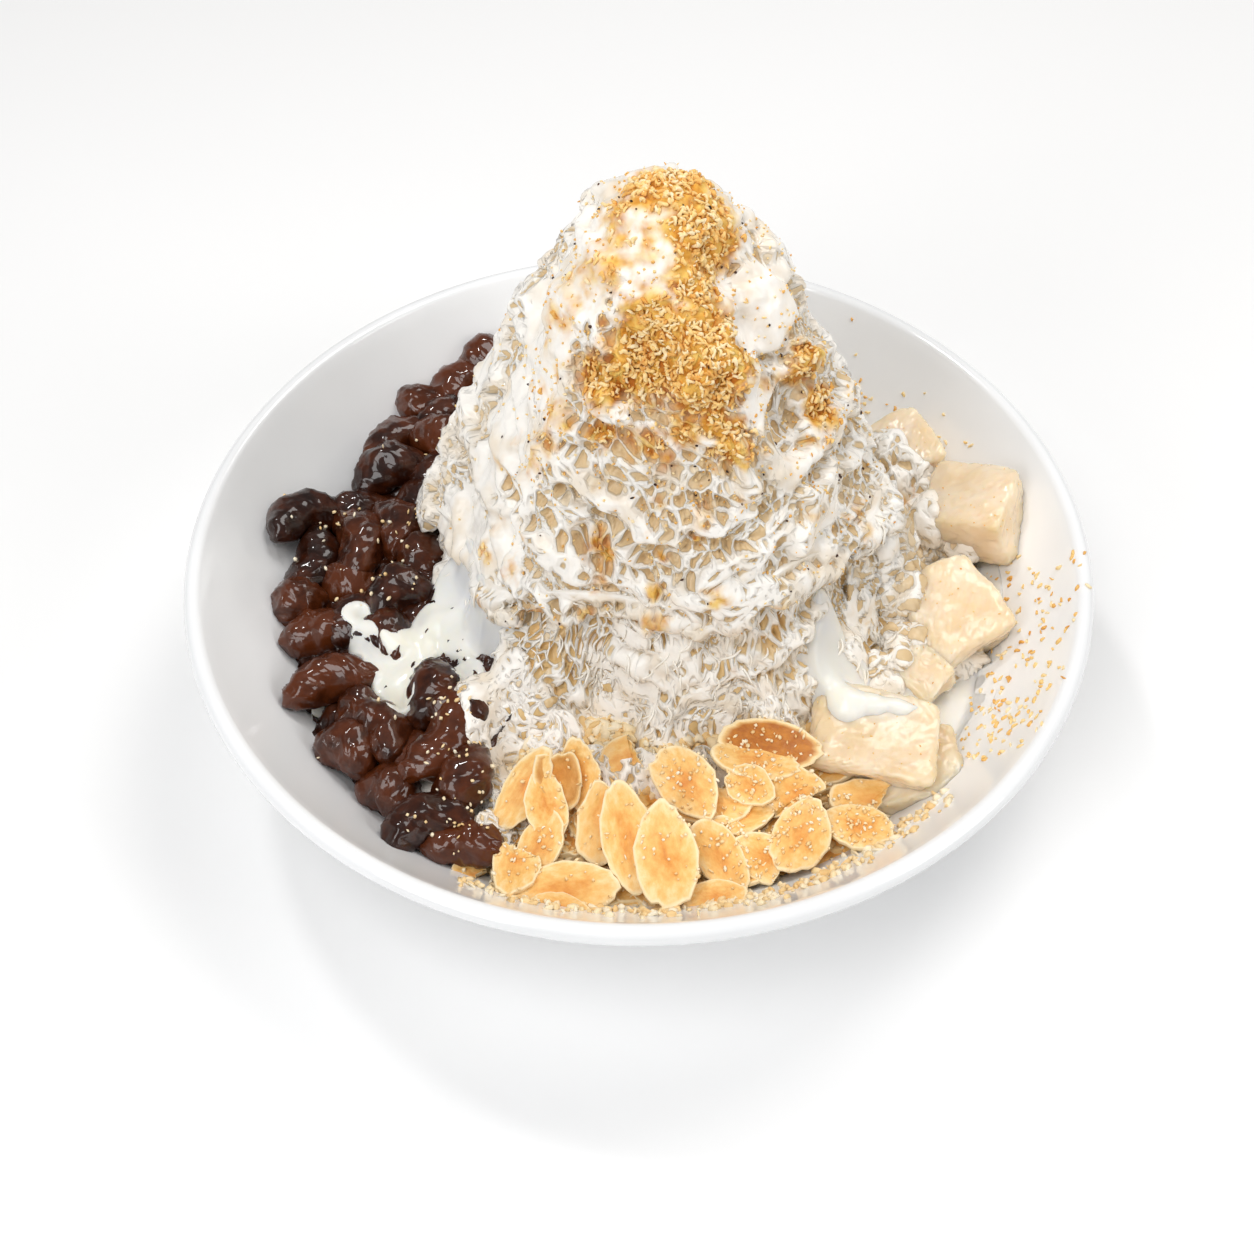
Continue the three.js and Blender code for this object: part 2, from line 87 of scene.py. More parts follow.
def feed(tree, node, inputs):
    """Sets a node's inputs, by name or in their order, to values or to what other nodes give."""
    for key, value in inputs.items() if isinstance(inputs, dict) else enumerate(inputs):
        if isinstance(value, bpy.types.Node):
            value = next(socket for socket in value.outputs if socket.enabled)
        if isinstance(value, bpy.types.NodeSocket):
            tree.links.new(value, node.inputs[key])
        else:
            node.inputs[key].default_value = value


def add(tree, kind, inputs=(), stops=(), **settings):
    """Adds a node of any kind, with its settings, its inputs and a colour ramp's stops."""
    node = tree.nodes.new(kind)
    for name, value in settings.items():
        setattr(node, name, value)
    feed(tree, node, inputs)
    for number, (place, hex_colour) in enumerate(stops):
        elements = node.color_ramp.elements
        element = elements[number] if number < len(elements) else elements.new(1.0)
        element.position = place
        element.color = linear(hex_colour)
    return node


def new_material(name):
    """A material with its tree, its Principled shader and its object coordinates in metres."""
    print("material:", name)
    material = bpy.data.materials.new(name)
    material.use_nodes = True
    tree = material.node_tree
    tree.nodes.clear()
    shader = add(tree, "ShaderNodeBsdfPrincipled")
    add(tree, "ShaderNodeOutputMaterial", {"Surface": shader})
    return material, tree, shader, add(tree, "ShaderNodeTexCoord").outputs["Object"]


# %% [markdown]
# ## Small helpers for meshes
# Shapes that follow a formula are quickest as arrays of points. Most of them are lattices: rows of
# points in the same order, joined by triangles, with a fan of triangles to close an open end.

# %% Meshes
def make_piece(name, points, faces, values=None):
    """A smooth mesh object from points in millimetres, triangles, and named numbers per point."""
    mesh = bpy.data.meshes.new(name)
    faces = np.asarray(faces, np.int32)
    mesh.vertices.add(len(points))
    mesh.vertices.foreach_set("co", (np.asarray(points) * MM).astype(np.float32).ravel())
    mesh.loops.add(faces.size)
    mesh.loops.foreach_set("vertex_index", faces.ravel())
    mesh.polygons.add(len(faces))
    mesh.polygons.foreach_set("loop_start", np.arange(0, faces.size, 3, dtype=np.int32))
    mesh.polygons.foreach_set("use_smooth", np.ones(len(faces), bool))
    for key, numbers in (values or {}).items():
        attribute = mesh.attributes.new(key, "FLOAT", "POINT")
        attribute.data.foreach_set("value", np.asarray(numbers, np.float32))
    mesh.update(calc_edges=True)
    piece = bpy.data.objects.new(name, mesh)
    bpy.context.scene.collection.objects.link(piece)
    return piece


def read(items, name, width=1, kind=np.float32):
    """What Blender keeps under a name for each point, corner or value, as an array."""
    numbers = np.empty(len(items) * width, kind)
    items.foreach_get(name, numbers)
    return numbers.reshape(-1, width) if width > 1 else numbers


# %% Triangles between points
def lattice_faces(rows, columns, closed=False):
    """Triangles of a lattice kept row by row. A closed one joins its last column to its first."""
    last = columns if closed else columns - 1
    row, column = np.meshgrid(np.arange(rows - 1), np.arange(last), indexing="ij")
    beside = (column + 1) % columns
    a, b = (row * columns + column).ravel(), (row * columns + beside).ravel()
    c, d = b + columns, a + columns
    return np.concatenate([np.stack([a, b, c], 1), np.stack([a, c, d], 1)])


def lattice_edge(rows, columns):
    """The points on the edge of an open lattice, in their order round it."""
    index = np.arange(rows * columns).reshape(rows, columns)
    return np.concatenate([index[0, :-1], index[:-1, -1], index[-1, :0:-1], index[:0:-1, 0]])


def fan_faces(rim, centre):
    """Triangles from a closed rim of points to a centre point."""
    rim = np.asarray(rim)
    return np.stack([rim, np.roll(rim, -1), np.full(len(rim), centre)], 1)


def capped_faces(rows, columns):
    """Triangles of a closed lattice and of a fan at each end, to the two points that come after it."""
    total = rows * columns
    return np.concatenate([lattice_faces(rows, columns, closed=True),
                           fan_faces(np.arange(columns), total)[:, ::-1],
                           fan_faces(np.arange(total - columns, total), total + 1)])


# %% Turns and slopes
def whole_turn(steps):
    """Angles of even steps round a full turn."""
    return np.linspace(0, 2 * math.pi, steps, endpoint=False)


def at_turn(radius, turn, height):
    """Points at distances from the bowl's axis, at angles round it, and at heights."""
    return np.stack(np.broadcast_arrays(radius * np.cos(turn), radius * np.sin(turn), height), -1)


def soft_step(value, low, high):
    """0 below low, 1 above high, and a smooth slope between them."""
    share = np.clip((value - low) / (high - low), 0, 1)
    return share * share * (3 - 2 * share)


# %% [markdown]
# ## Running a Geometry Nodes tree
# A tree makes what repeats or follows a surface. It is run once, its result becomes a plain
# mesh and the modifier goes away, so that the piece keeps a mesh and not a modifier.

# %% Trees with named inputs
def new_tree(name, sockets):
    """A Geometry Nodes tree from a geometry and these inputs, as name: kind, to a geometry."""
    tree = bpy.data.node_groups.new(name, "GeometryNodeTree")
    for label, kind in {"Geometry": "Geometry", **sockets}.items():
        tree.interface.new_socket(name=label, in_out="INPUT", socket_type="NodeSocket" + kind)
    tree.interface.new_socket(name="Geometry", in_out="OUTPUT", socket_type="NodeSocketGeometry")
    return tree, tree.nodes.new("NodeGroupInput").outputs, tree.nodes.new("NodeGroupOutput")


def move_along_normals(tree, geometry, rise):
    """Moves a surface's points out along its normals."""
    normal = add(tree, "GeometryNodeInputNormal")
    offset = add(tree, VECTOR_MATH, {0: normal, "Scale": rise}, operation="SCALE")
    return add(tree, "GeometryNodeSetPosition", {"Geometry": geometry, "Offset": offset})


def end_tree(tree, geometry, material, out):
    """Ends a tree: what it copied is made real, and all of it takes its material."""
    real = add(tree, "GeometryNodeRealizeInstances", {"Geometry": geometry})
    feed(tree, out, [add(tree, "GeometryNodeSetMaterial", {"Geometry": real, "Material": material})])
    print(f"tree: {tree.name}, {len(tree.nodes)} nodes")


def run_tree(piece, tree, values):
    """Runs a tree on a piece and keeps the result as the piece's own plain mesh."""
    modifier = piece.modifiers.new(tree.name, "NODES")
    modifier.node_group = tree
    for item in tree.interface.items_tree:
        if item.in_out == "INPUT" and item.name in values:
            modifier[item.identifier] = values[item.name]
    piece.update_tag()
    graph = bpy.context.evaluated_depsgraph_get()
    result = bpy.data.meshes.new_from_object(piece.evaluated_get(graph), preserve_all_data_layers=True,
                                             depsgraph=graph)
    piece.modifiers.remove(modifier)
    piece.data = result
    piece.data.polygons.foreach_set("use_smooth", np.ones(len(result.polygons), bool))
    return piece


def finish_piece(piece, slot, *nodes):
    """The piece rides on the bowl's body and stands for CAD nodes, which are hidden. The slot is not used."""
    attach(piece, "root")
    if nodes:
        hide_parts(*nodes)
    print(f"{piece.name}: {sum(len(p.vertices) - 2 for p in piece.data.polygons)} triangles")
    return piece


# %% [markdown]
# ## Glazed porcelain
# The bowl is white glazed porcelain. The clay is fired white, and the glaze is a thin layer of
# glass over it, so the eye gets a clean white with sharp but soft-edged reflections. The glaze
# pools a little, which shows as very slow waves in the reflections. The foot ring isn't glazed.

# %% Glazed porcelain
WAVES_OF_GLAZE = 45.0  # 22 mm long
UNGLAZED_BELOW, GLAZED_ABOVE = 0.0003, 0.0009
porcelain, tree, shader, coords = new_material("glazed porcelain")
glaze = add(tree, NOISE, {"Vector": coords, "Scale": WAVES_OF_GLAZE, "Detail": 1.0})
place = add(tree, "ShaderNodeSeparateXYZ", [coords])
feed(tree, shader, {
    "Base Color": add(tree, RAMP, [glaze], [(0.3, "#f0f1f2"), (0.7, "#f5f6f7")]),
    "Roughness": add(tree, RANGE, {"Value": place.outputs["Z"], "From Min": UNGLAZED_BELOW,
                                   "From Max": GLAZED_ABOVE, "To Min": 0.55, "To Max": 0.09}),
    "Normal": add(tree, BUMP, {"Height": glaze, "Strength": 0.05, "Distance": 0.002}),
    "IOR": 1.52})

# %% [markdown]
# ## The bowl
# A bowl like this is turned on a wheel, so its shape is one profile swept round an axis. The CAD
# solid has 36 flat sides. Here the same profile is swept with 256 steps, which reads as round.

# %% The bowl's profile
RIM_RADIUS, BOWL_HEIGHT, WALL = 90.0, 46.0, 3.8
FLOOR_RADIUS, FOOT_HEIGHT = 38.0, 4.4
LIP_RADIUS, LIP_Z = RIM_RADIUS - WALL / 2, BOWL_HEIGHT - WALL / 2
FLOOR_MIDDLE = FOOT_HEIGHT + WALL / 2
ROUND_STEPS = 256


def wall_point(radius, offset):
    """Radius and height of the bowl's wall at a place on its middle line, moved off it by offset."""
    run, rise = LIP_RADIUS - FLOOR_RADIUS, LIP_Z - FLOOR_MIDDLE
    along = np.maximum(0, radius - FLOOR_RADIUS) / run
    lean = np.arctan(2 * rise * along / run)
    return radius - np.sin(lean) * offset, FLOOR_MIDDLE + rise * along ** 2 + np.cos(lean) * offset


middle_radii = np.linspace(0, LIP_RADIUS, 400)
inner_radii, inner_heights = wall_point(middle_radii, WALL / 2)


def bowl_floor(radius):
    """Height of the bowl's inside at a distance from its axis."""
    return np.interp(radius, inner_radii, inner_heights)


FOOT_RING = [[36.2, 4.4], [36.6, 4.2], [37.0, 3.6], [37.1, 0.9], [37.4, 0.3], [38.0, 0.0], [40.2, 0.0],
             [40.7, 0.25], [41.0, 0.8], [41.3, 3.4], [41.6, 4.1]]
WALL_FROM = 42.5
outer_wall = np.stack(wall_point(np.linspace(WALL_FROM, LIP_RADIUS, 40), -WALL / 2), 1)
inner_wall = np.stack(wall_point(np.linspace(LIP_RADIUS, 0, 60), WALL / 2), 1)[:-1]
lean_at_lip = math.atan(2 * (LIP_Z - FLOOR_MIDDLE) / (LIP_RADIUS - FLOOR_RADIUS))
lip_turn = lean_at_lip - np.linspace(math.pi, 0, 14)[1:-1]
lip = np.stack([LIP_RADIUS - WALL / 2 * np.sin(lip_turn), LIP_Z + WALL / 2 * np.cos(lip_turn)], 1)
profile = np.concatenate([FOOT_RING, outer_wall, lip, inner_wall])
points = at_turn(profile[:, :1], whole_turn(ROUND_STEPS), profile[:, 1:]).reshape(-1, 3)
count = len(points)
points = np.concatenate([points, [[0, 0, FOOT_HEIGHT], [0, 0, inner_heights[0]]]])
first_ring, last_ring = np.arange(ROUND_STEPS), count - ROUND_STEPS + np.arange(ROUND_STEPS)
faces = np.concatenate([lattice_faces(len(profile), ROUND_STEPS, closed=True),
                        fan_faces(first_ring[::-1], count), fan_faces(last_ring, count + 1)])
bowl = make_piece("porcelain_bowl", points, faces)
bowl.data.materials.append(porcelain)
finish_piece(bowl, "porcelain", "bowl")

# %% [markdown]
# ## The shape of the ice
# Shaved ice falls in soft folds and is steep at the sides, like half of an egg. The rule is the
# same as in the solids: a paraboloid, slow waves round it, a ledge where cream has gathered, a
# spreading skirt, and a few folds. It is written once here and used for both pieces of ice.

# %% The rule of the mound
PEAK = {"x": 4.0, "y": 5.0, "top": 128.0, "foot": 14.0, "radius": 51.5}
DROP = PEAK["top"] - PEAK["foot"]
MILK_LEVEL = 26.0
WAVES = [(0.8, 1, 0.03, 5.5), (2.0, 2, 0.026, 1.74), (0.6, 3, 0.04, 4.5), (1.8, 5, 0.018, 5.7),
         (0.7, 8, 0.16, 1.0)]
FOLDS = [((318, 118), (322, 90), 5, -3), ((340, 112), (335, 84), 7, 1.5), ((214, 96), (214, 62), 5, -2.5),
         ((352, 47), (350, 28), 12, 7), ((236, 44), (233, 30), 7, 4)]
LEDGE_STEP = 3.0


def ledge_height(azimuth):
    """Height of the ledge that runs round the mound."""
    return 47 + 15 * np.cos(azimuth - math.radians(290)) + 2 * np.sin(6 * azimuth + 1)


def side_relief(height, azimuth, radius, step):
    """How far the mound's surface stands out from the plain paraboloid."""
    waves = sum(size * np.sin(times * azimuth + climb * height + phase)
                for size, times, climb, phase in WAVES)
    edge = ledge_height(azimuth)
    out = waves * soft_step(PEAK["top"] - height, 0, 25) + 6 * np.exp(-np.abs(height - 22) / 11)
    out = out - step * (1 - soft_step(height, edge - 2, edge + 2))
    for (turn_from, high), (turn_to, low), width, size in FOLDS:
        along = np.clip((height - high) / (low - high), 0, 1)
        turn = azimuth - np.radians(turn_from + (turn_to - turn_from) * along)
        sideways = radius * np.arctan2(np.sin(turn), np.cos(turn))
        upwards = height - (high + (low - high) * along)
        out = out + size * np.exp(-(sideways ** 2 + upwards ** 2) / width ** 2)
    return out


# %% Points on the mound
def mound_point(share, azimuth, step=0.0):
    """Points on the mound, the way out from them and the way down. Share is 0 at the peak, 1 at the foot."""
    height = PEAK["top"] - DROP * share ** 2
    radius = PEAK["radius"] * share
    steep = np.arctan2(2 * DROP * share, PEAK["radius"])
    outward = at_turn(np.sin(steep), azimuth, np.cos(steep))
    down = at_turn(np.cos(steep), azimuth, -np.sin(steep))
    centre = at_turn(radius, azimuth, height) + [PEAK["x"], PEAK["y"], 0.0]
    return centre + outward * side_relief(height, azimuth, radius, step)[..., None], outward, down


def share_at(height):
    """The share of the way down at which the mound has this height."""
    return np.sqrt((PEAK["top"] - height) / DROP)


def near(points, spots):
    """How near points are to spots of x, y, z, radius and strength: 1 at a strong spot, 0 far away."""
    found = np.zeros(len(points))
    for x, y, z, radius, strength in spots:
        distance = np.linalg.norm(points - np.array([x, y, z]), axis=1)
        found = np.maximum(found, strength * np.exp(-(distance / radius) ** 2))
    return found


# %% [markdown]
# ## Where the ice is smooth and where powder lies
# Milk was poured over the back and the upper left, so the ice is closed and glossy there. On the
# front it soaked in and left holes and threads. The powder was sifted over the peak from the
# front. Faint powder spots on the crown's upper left are partly painted shade that tones that side
# down. Each place is a named spot on the mound, in millimetres, with a radius and a strength.

# %% Spots on the mound
SMOOTH_SPOTS = [(-16, -1, 104, 13, 1.0), (-10, -3, 115, 10, 0.9), (-22, -2, 88, 9, 0.9),
                (-29, -2, 70, 8, 0.7), (-36, -4, 50, 12, 1.0), (-32, -12, 56, 8, 0.7),
                (22, -5, 110, 8, 1.0), (24, -16, 100, 6, 1.0), (29, -20, 86, 5, 0.9), (34, -22, 70, 6, 0.7),
                (42, -20, 52, 7, 0.6), (46, -14, 42, 8, 0.8), (-26, -32, 38, 8, 0.9), (6, 24, 100, 22, 0.7),
                (30, 25, 75, 20, 0.6), (-20, 30, 75, 20, 0.8), (0, 50, 45, 20, 0.6), (5, 5, 128, 18, 0.9),
                (8, -10, 118, 12, 0.8), (-24, -12, 82, 12, 0.75), (-31, -17, 64, 12, 0.7),
                (-19, -12, 98, 9, 0.8), (-25, -1, 78, 9, 0.9), (-36, -20, 50, 9, 0.6),
                (36, -14, 70, 7, 0.5)]
# The spots at (-5, -6, 119) and (-12, -6, 110) are faint powder that is partly painted shade on the crown's
# upper left.
POWDER_AND_SHADE_SPOTS = [(5, 6, 127, 9, 1.0), (11, -2, 123, 9, 1.0), (9, -9, 119, 7, 0.8), (12, -15, 114, 8, 1.0),
                (3, -14, 113, 8, 1.0), (1, -16, 107, 8, 1.0), (11, -19, 107, 9, 1.0),
                (-6, -16, 104, 6, 0.9), (-4, -2, 124, 6, 0.6), (30, -6, 98, 6, 0.85), (33, -6, 88, 6, 0.75),
                (36, -7, 78, 5, 0.4), (-14, -15, 95, 5, 0.6), (16, -23, 96, 7, 0.7), (-18, -17, 84, 5, 0.5),
                (8, -23, 98, 6, 0.6), (19, -27, 86, 5, 0.35), (26, -31, 56, 5, 0.3), (16, -32, 60, 4, 0.25),
                (38, -8, 62, 6, 0.3), (-5, -6, 119, 8, 0.56), (2, -5, 124, 7, 0.5), (-12, -6, 110, 8, 0.5),
                (-2, 2, 125, 8, 0.6), (-9, -10, 104, 6, 0.6), (13, -23, 100, 4, 0.9), (-6, -21, 95, 4, 0.7),
                (-16, -16, 90, 6, 0.5), (34, -12, 84, 6, 0.5), (2, -22, 95, 7, 0.55)]


# %% Stray powder, and how smooth and how dusty a place is
def smudges(count, draw):
    """Small random spots on the front of the mound, above the ledge, where stray powder stuck."""
    found = []
    for turn, share in zip(draw.uniform(195, 345, count), draw.uniform(0.32, 0.9, count)):
        place = mound_point(np.array([share]), np.array([math.radians(turn)]))[0][0]
        found.append((*place, draw.uniform(1.5, 4.0), draw.uniform(0.35, 0.62)))
    return found


STRAY_POWDER = smudges(110, np.random.default_rng(4))


def smooth_at(points):
    """1 where milk has closed the surface, 0 where it is open lace."""
    return np.clip(near(points, SMOOTH_SPOTS) * 1.25, 0, 1)


def powder_at(points):
    """How much soybean powder lies on the mound: 1 where it is thick. On the crown's upper left it is partly
    painted shade.
    """
    return np.clip(near(points, POWDER_AND_SHADE_SPOTS + STRAY_POWDER), 0, 1)


# %% [markdown]
# ## The peak of the ice
# The upper mass is one closed skin from the tip to the ledge. An even lattice over a disc becomes
# the skin, with triangles of about half a millimetre. The finest holes are in front, so the disc
# is first bent by (w + a) / (1 + aw), which keeps squares square and draws them together on one
# side. At the ledge the skin rolls under, as thick cream does before it drips.

# %% The peak as a lattice that is finer in front
PEAK_STEPS = 308
FRONT = math.radians(268)
FINER = 0.24  # 0 is even, and 1 would draw the whole lattice to the front
ROLL_SHARE = 0.955
ROLL_RADIUS = 1.8
ROLL_END = 0.625
TUCKED_IN = 5.0
UNDERSIDE = 45.0


def disc_lattice(count):
    """Distance from the middle, 0 to 1, and azimuth of a square lattice bent into a disc."""
    line = np.linspace(-1, 1, count + 1)
    u, v = np.meshgrid(line, line)
    wide = np.abs(u) > np.abs(v)
    safe_u, safe_v = np.where(u == 0, 1, u), np.where(v == 0, 1, v)
    signed = np.where(wide, u, v)
    turn = np.where(wide, math.pi / 4 * v / safe_u, math.pi / 2 - math.pi / 4 * u / safe_v)
    even = (signed * np.exp(1j * turn)).ravel()
    bent = (even + FINER) / (1 + FINER * even) * np.exp(1j * FRONT)
    return np.abs(bent), np.angle(bent)


def disc_faces(count):
    """Triangles of the disc's lattice. Each square is split towards the middle, where corners straighten."""
    row, column = (grid.ravel() for grid in np.meshgrid(np.arange(count), np.arange(count), indexing="ij"))
    a = row * (count + 1) + column
    b, c, d = a + 1, a + count + 2, a + count + 1
    outward = ((row + 0.5 - count / 2) * (column + 0.5 - count / 2) > 0)[:, None]
    return np.concatenate([np.where(outward, np.stack([a, b, c], 1), np.stack([a, b, d], 1)),
                           np.where(outward, np.stack([a, c, d], 1), np.stack([b, c, d], 1))])


# %% Even steps down the mound
def even_share(part, lowest):
    """The share of the way down that holds this part of the area above the lowest share."""
    radius = PEAK["radius"]
    whole = (radius ** 2 + 4 * DROP ** 2 * lowest ** 2) ** 1.5 - radius ** 3
    reach = (part * whole + radius ** 3) ** (2 / 3) - radius ** 2
    return np.sqrt(np.maximum(0, reach)) / (2 * DROP)


def flow_height(points):
    """Height measured along the folds of cream, which run down to the right and level out, in mm."""
    return points[:, 2] + 0.3 * points[:, 0] - 0.0065 * points[:, 0] ** 2


# %% The peak's skin
distance, azimuth = disc_lattice(PEAK_STEPS)
lowest = share_at(ledge_height(azimuth))
share = even_share(np.minimum(distance / ROLL_SHARE, 1) ** 2, lowest)
points, outward, down = mound_point(share, azimuth)
roll = np.clip((distance - ROLL_SHARE) / (1 - ROLL_SHARE), 0, 1)
rolled = np.minimum(roll / ROLL_END, 1) * math.pi
points = points + ROLL_RADIUS * ((np.cos(rolled) - 1)[:, None] * outward + np.sin(rolled)[:, None] * down)
points = points - outward * (np.maximum(roll - ROLL_END, 0) / (1 - ROLL_END) * TUCKED_IN)[:, None]
rim = lattice_edge(PEAK_STEPS + 1, PEAK_STEPS + 1)
points = np.concatenate([points, [[PEAK["x"], PEAK["y"], UNDERSIDE]]])
faces = np.concatenate([disc_faces(PEAK_STEPS), fan_faces(rim[::-1], len(points) - 1)])
free = np.append(1 - soft_step(roll, 0.35, 0.6), 0)
ice_peak = make_piece("ice_peak", points, faces, {
    "free": free, "smooth": smooth_at(points), "powder": powder_at(points), "flow": flow_height(points) * MM})
print("peak:", len(faces), "triangles before its relief")

# %% [markdown]
# ## The skirt of the ice
# Below the ledge the ice hangs in fine upright threads and spreads onto what lies round it. It is
# a second closed piece that starts inside the peak, and it ends in the flat bed of ice. Its columns
# stand closer together in front too.

# %% The skirt and the bed
SKIRT_ROUND, SKIRT_ROWS = 760, 118
CLOSER_IN_FRONT = 0.4
START_ABOVE_LEDGE, SKIRT_END = 5, 18.0
BED = [(66.0, 18.0), (66.0, 17.4), (52.0, 12.0), (34.0, 9.0)]
turn = whole_turn(SKIRT_ROUND)[None, :]
turn = turn - CLOSER_IN_FRONT * np.sin(turn - FRONT)
start = share_at(ledge_height(turn) + START_ABOVE_LEDGE)
end = share_at(SKIRT_END)
rows = np.linspace(0, 1, SKIRT_ROWS)[:, None]
share = start + (end - start) * rows
points, outward, down = mound_point(share, np.broadcast_to(turn, share.shape), LEDGE_STEP)
bed = [at_turn(radius, turn[0], height) for radius, height in BED]
free_rows = soft_step(rows, 0.0, 0.08) * (1 - soft_step(rows, 0.94, 1.0))
free = np.concatenate([np.broadcast_to(free_rows, share.shape), np.zeros((len(BED), SKIRT_ROUND))]).ravel()
points = np.concatenate([points.reshape(-1, 3)] + bed)
total = len(points)
points = np.concatenate([points, [[PEAK["x"], PEAK["y"], 40], [0, 0, 9]]])
faces = np.concatenate([lattice_faces(SKIRT_ROWS + len(BED), SKIRT_ROUND, closed=True)[:, ::-1],
                        fan_faces(np.arange(SKIRT_ROUND), total),
                        fan_faces(np.arange(total - SKIRT_ROUND, total)[::-1], total + 1)])
ice_skirt = make_piece("ice_skirt", points, faces, {
    "free": np.append(free, [0, 0]), "smooth": smooth_at(points) * 0.8, "powder": powder_at(points),
    "flow": points[:, 2] * MM})
print("skirt:", len(faces), "triangles before its relief")

# %% [markdown]
# ## Lace in the ice
# Milk that runs through loose shavings melts holes into them. Where it is thick it stands as smooth
# banks, and between the banks it is a net of thin walls round open windows. Slow noise along the
# flow gives the banks. Voronoi cells give the net: each cell's wall is as thick as its own random
# number says, and the window is what is left inside it, rounded by the distance from the cell's
# middle. Finer cells are the strands across the windows. Grains stand where powder lies. The tree
# keeps the bent place that the cells were laid out in, so that the material can draw the very same
# windows, sharper than the triangles are.

# %% Windows, for Geometry Nodes and for shaders
def window_mask(tree, place, cover, scale, thinnest, thickest, softness):
    """How far a point is inside a window, 0 on a wall and 1 on the floor, and how near it is to one."""
    middle = add(tree, CELLS, {"Vector": place, "Scale": scale}, feature="F1")
    edge = add(tree, CELLS, {"Vector": place, "Scale": scale}, feature="DISTANCE_TO_EDGE")
    split = "FunctionNodeSeparateColor" if tree.bl_idname == "GeometryNodeTree" else "ShaderNodeSeparateColor"
    own = add(tree, split, [middle.outputs["Color"]])
    wall = add(tree, MATH, [own, thickest - thinnest, thinnest], operation="MULTIPLY_ADD")
    wall = add(tree, MATH, [wall, cover], operation="ADD")
    rounded = add(tree, MATH, [middle, -0.9, 0.62], operation="MULTIPLY_ADD")
    covered = add(tree, MATH, [cover, 0.8], operation="MULTIPLY")
    rounded = add(tree, MATH, [rounded, covered], operation="SUBTRACT")
    inside = add(tree, MATH, [edge, wall], operation="SUBTRACT")
    inside = add(tree, MATH, [inside, rounded], operation="MINIMUM")
    return [add(tree, RANGE, {"Value": inside, "From Min": low, "From Max": high},
                interpolation_type="SMOOTHSTEP") for low, high in ((0.0, softness), (-0.16, 0.02))]


# Thinnest and thickest walls and the slope's width, in cells. The mesh's windows slope more gently,
# because its triangles are half a millimetre.
LARGE_WINDOWS = {"thinnest": 0.0, "thickest": 0.15, "softness": 0.07}
SMALL_WINDOWS = {"thinnest": 0.05, "thickest": 0.36, "softness": 0.1}
SLOPE_IN_MESH = 0.22
SMALL_DEPTH = 0.6


# %% A tree that makes lace
sizes = ("Bank size", "Window size", "Small window size", "Strand size", "Grain size")
heights = ("Bank height", "Window depth", "Grain height", "Upright", "Seed")
lace, given, out = new_tree("lace in shaved ice", {
    **dict.fromkeys(sizes + heights, "Float"), "Material": "Material"})
rate = {size: add(lace, MATH, [1.0, given[size]], operation="DIVIDE") for size in sizes}
place = add(lace, "GeometryNodeInputPosition")
free, smooth, powder, flow = (
    add(lace, "GeometryNodeInputNamedAttribute", {"Name": name}, data_type="FLOAT")
    for name in ("free", "smooth", "powder", "flow"))
seeded = {"W": given["Seed"], "Detail": 1.0}
CENTRED = (0.5, 0.5, 0.5)  # noise lies between 0 and 1

# %% [markdown]
# Banks are laid out along the flow, so they stretch with it, and windows in upright places. Slow
# noise bends both, and finer noise roughens the windows' outlines.

# %% Bent places for the lace
NARROW = 0.55
WANDER, JITTER = 95.0, 380.0  # 11 mm and 2.6 mm
BANKS_WANDER, WINDOWS_WANDER, WINDOWS_JITTER = (0.012,) * 3, (0.008,) * 3, (0.0019,) * 3
parts = add(lace, "ShaderNodeSeparateXYZ", [place]).outputs
upright = add(lace, MATH, [flow, given["Upright"]], operation="MULTIPLY")
narrow = [add(lace, MATH, [parts[axis], NARROW], operation="MULTIPLY") for axis in "XY"]
stream = add(lace, JOINED, [*narrow, upright])
wander = add(lace, NOISE, {**seeded, "Vector": place, "Scale": WANDER}, noise_dimensions="4D")
wander = add(lace, VECTOR_MATH, [wander.outputs["Color"], CENTRED], operation="SUBTRACT")
stream = add(lace, VECTOR_MATH, [wander, BANKS_WANDER, stream], operation="MULTIPLY_ADD")
own_place = add(lace, JOINED, [parts["X"], parts["Y"], upright])
bent = add(lace, VECTOR_MATH, [wander, WINDOWS_WANDER, own_place], operation="MULTIPLY_ADD")
jitter = add(lace, NOISE, {**seeded, "Vector": bent, "Scale": JITTER}, noise_dimensions="4D")
jitter = add(lace, VECTOR_MATH, [jitter.outputs["Color"], CENTRED], operation="SUBTRACT")
bent = add(lace, VECTOR_MATH, [jitter, WINDOWS_JITTER, bent], operation="MULTIPLY_ADD")

# %% Banks, strands and closed places
FRAY = 260.0  # 4 mm
bank = add(lace, NOISE, {**seeded, "Vector": stream, "Scale": rate["Bank size"]}, noise_dimensions="4D")
fray = add(lace, NOISE, {**seeded, "Vector": place, "Scale": FRAY}, noise_dimensions="4D")
strand = add(lace, CELLS, {"Vector": bent, "Scale": rate["Strand size"]}, feature="DISTANCE_TO_EDGE")
closed, bank, strand, fray, dusty = (
    add(lace, RANGE, {"Value": value, "From Min": low, "From Max": high}, interpolation_type="SMOOTHSTEP")
    for value, low, high in ((smooth, 0.3, 0.8), (bank, 0.44, 0.62), (strand, 0.03, 0.14),
                             (fray, 0.42, 0.6), (powder, 0.02, 0.2)))

# %% [markdown]
# Windows come in two sizes, with strands across them. Banks and poured milk narrow or close them.

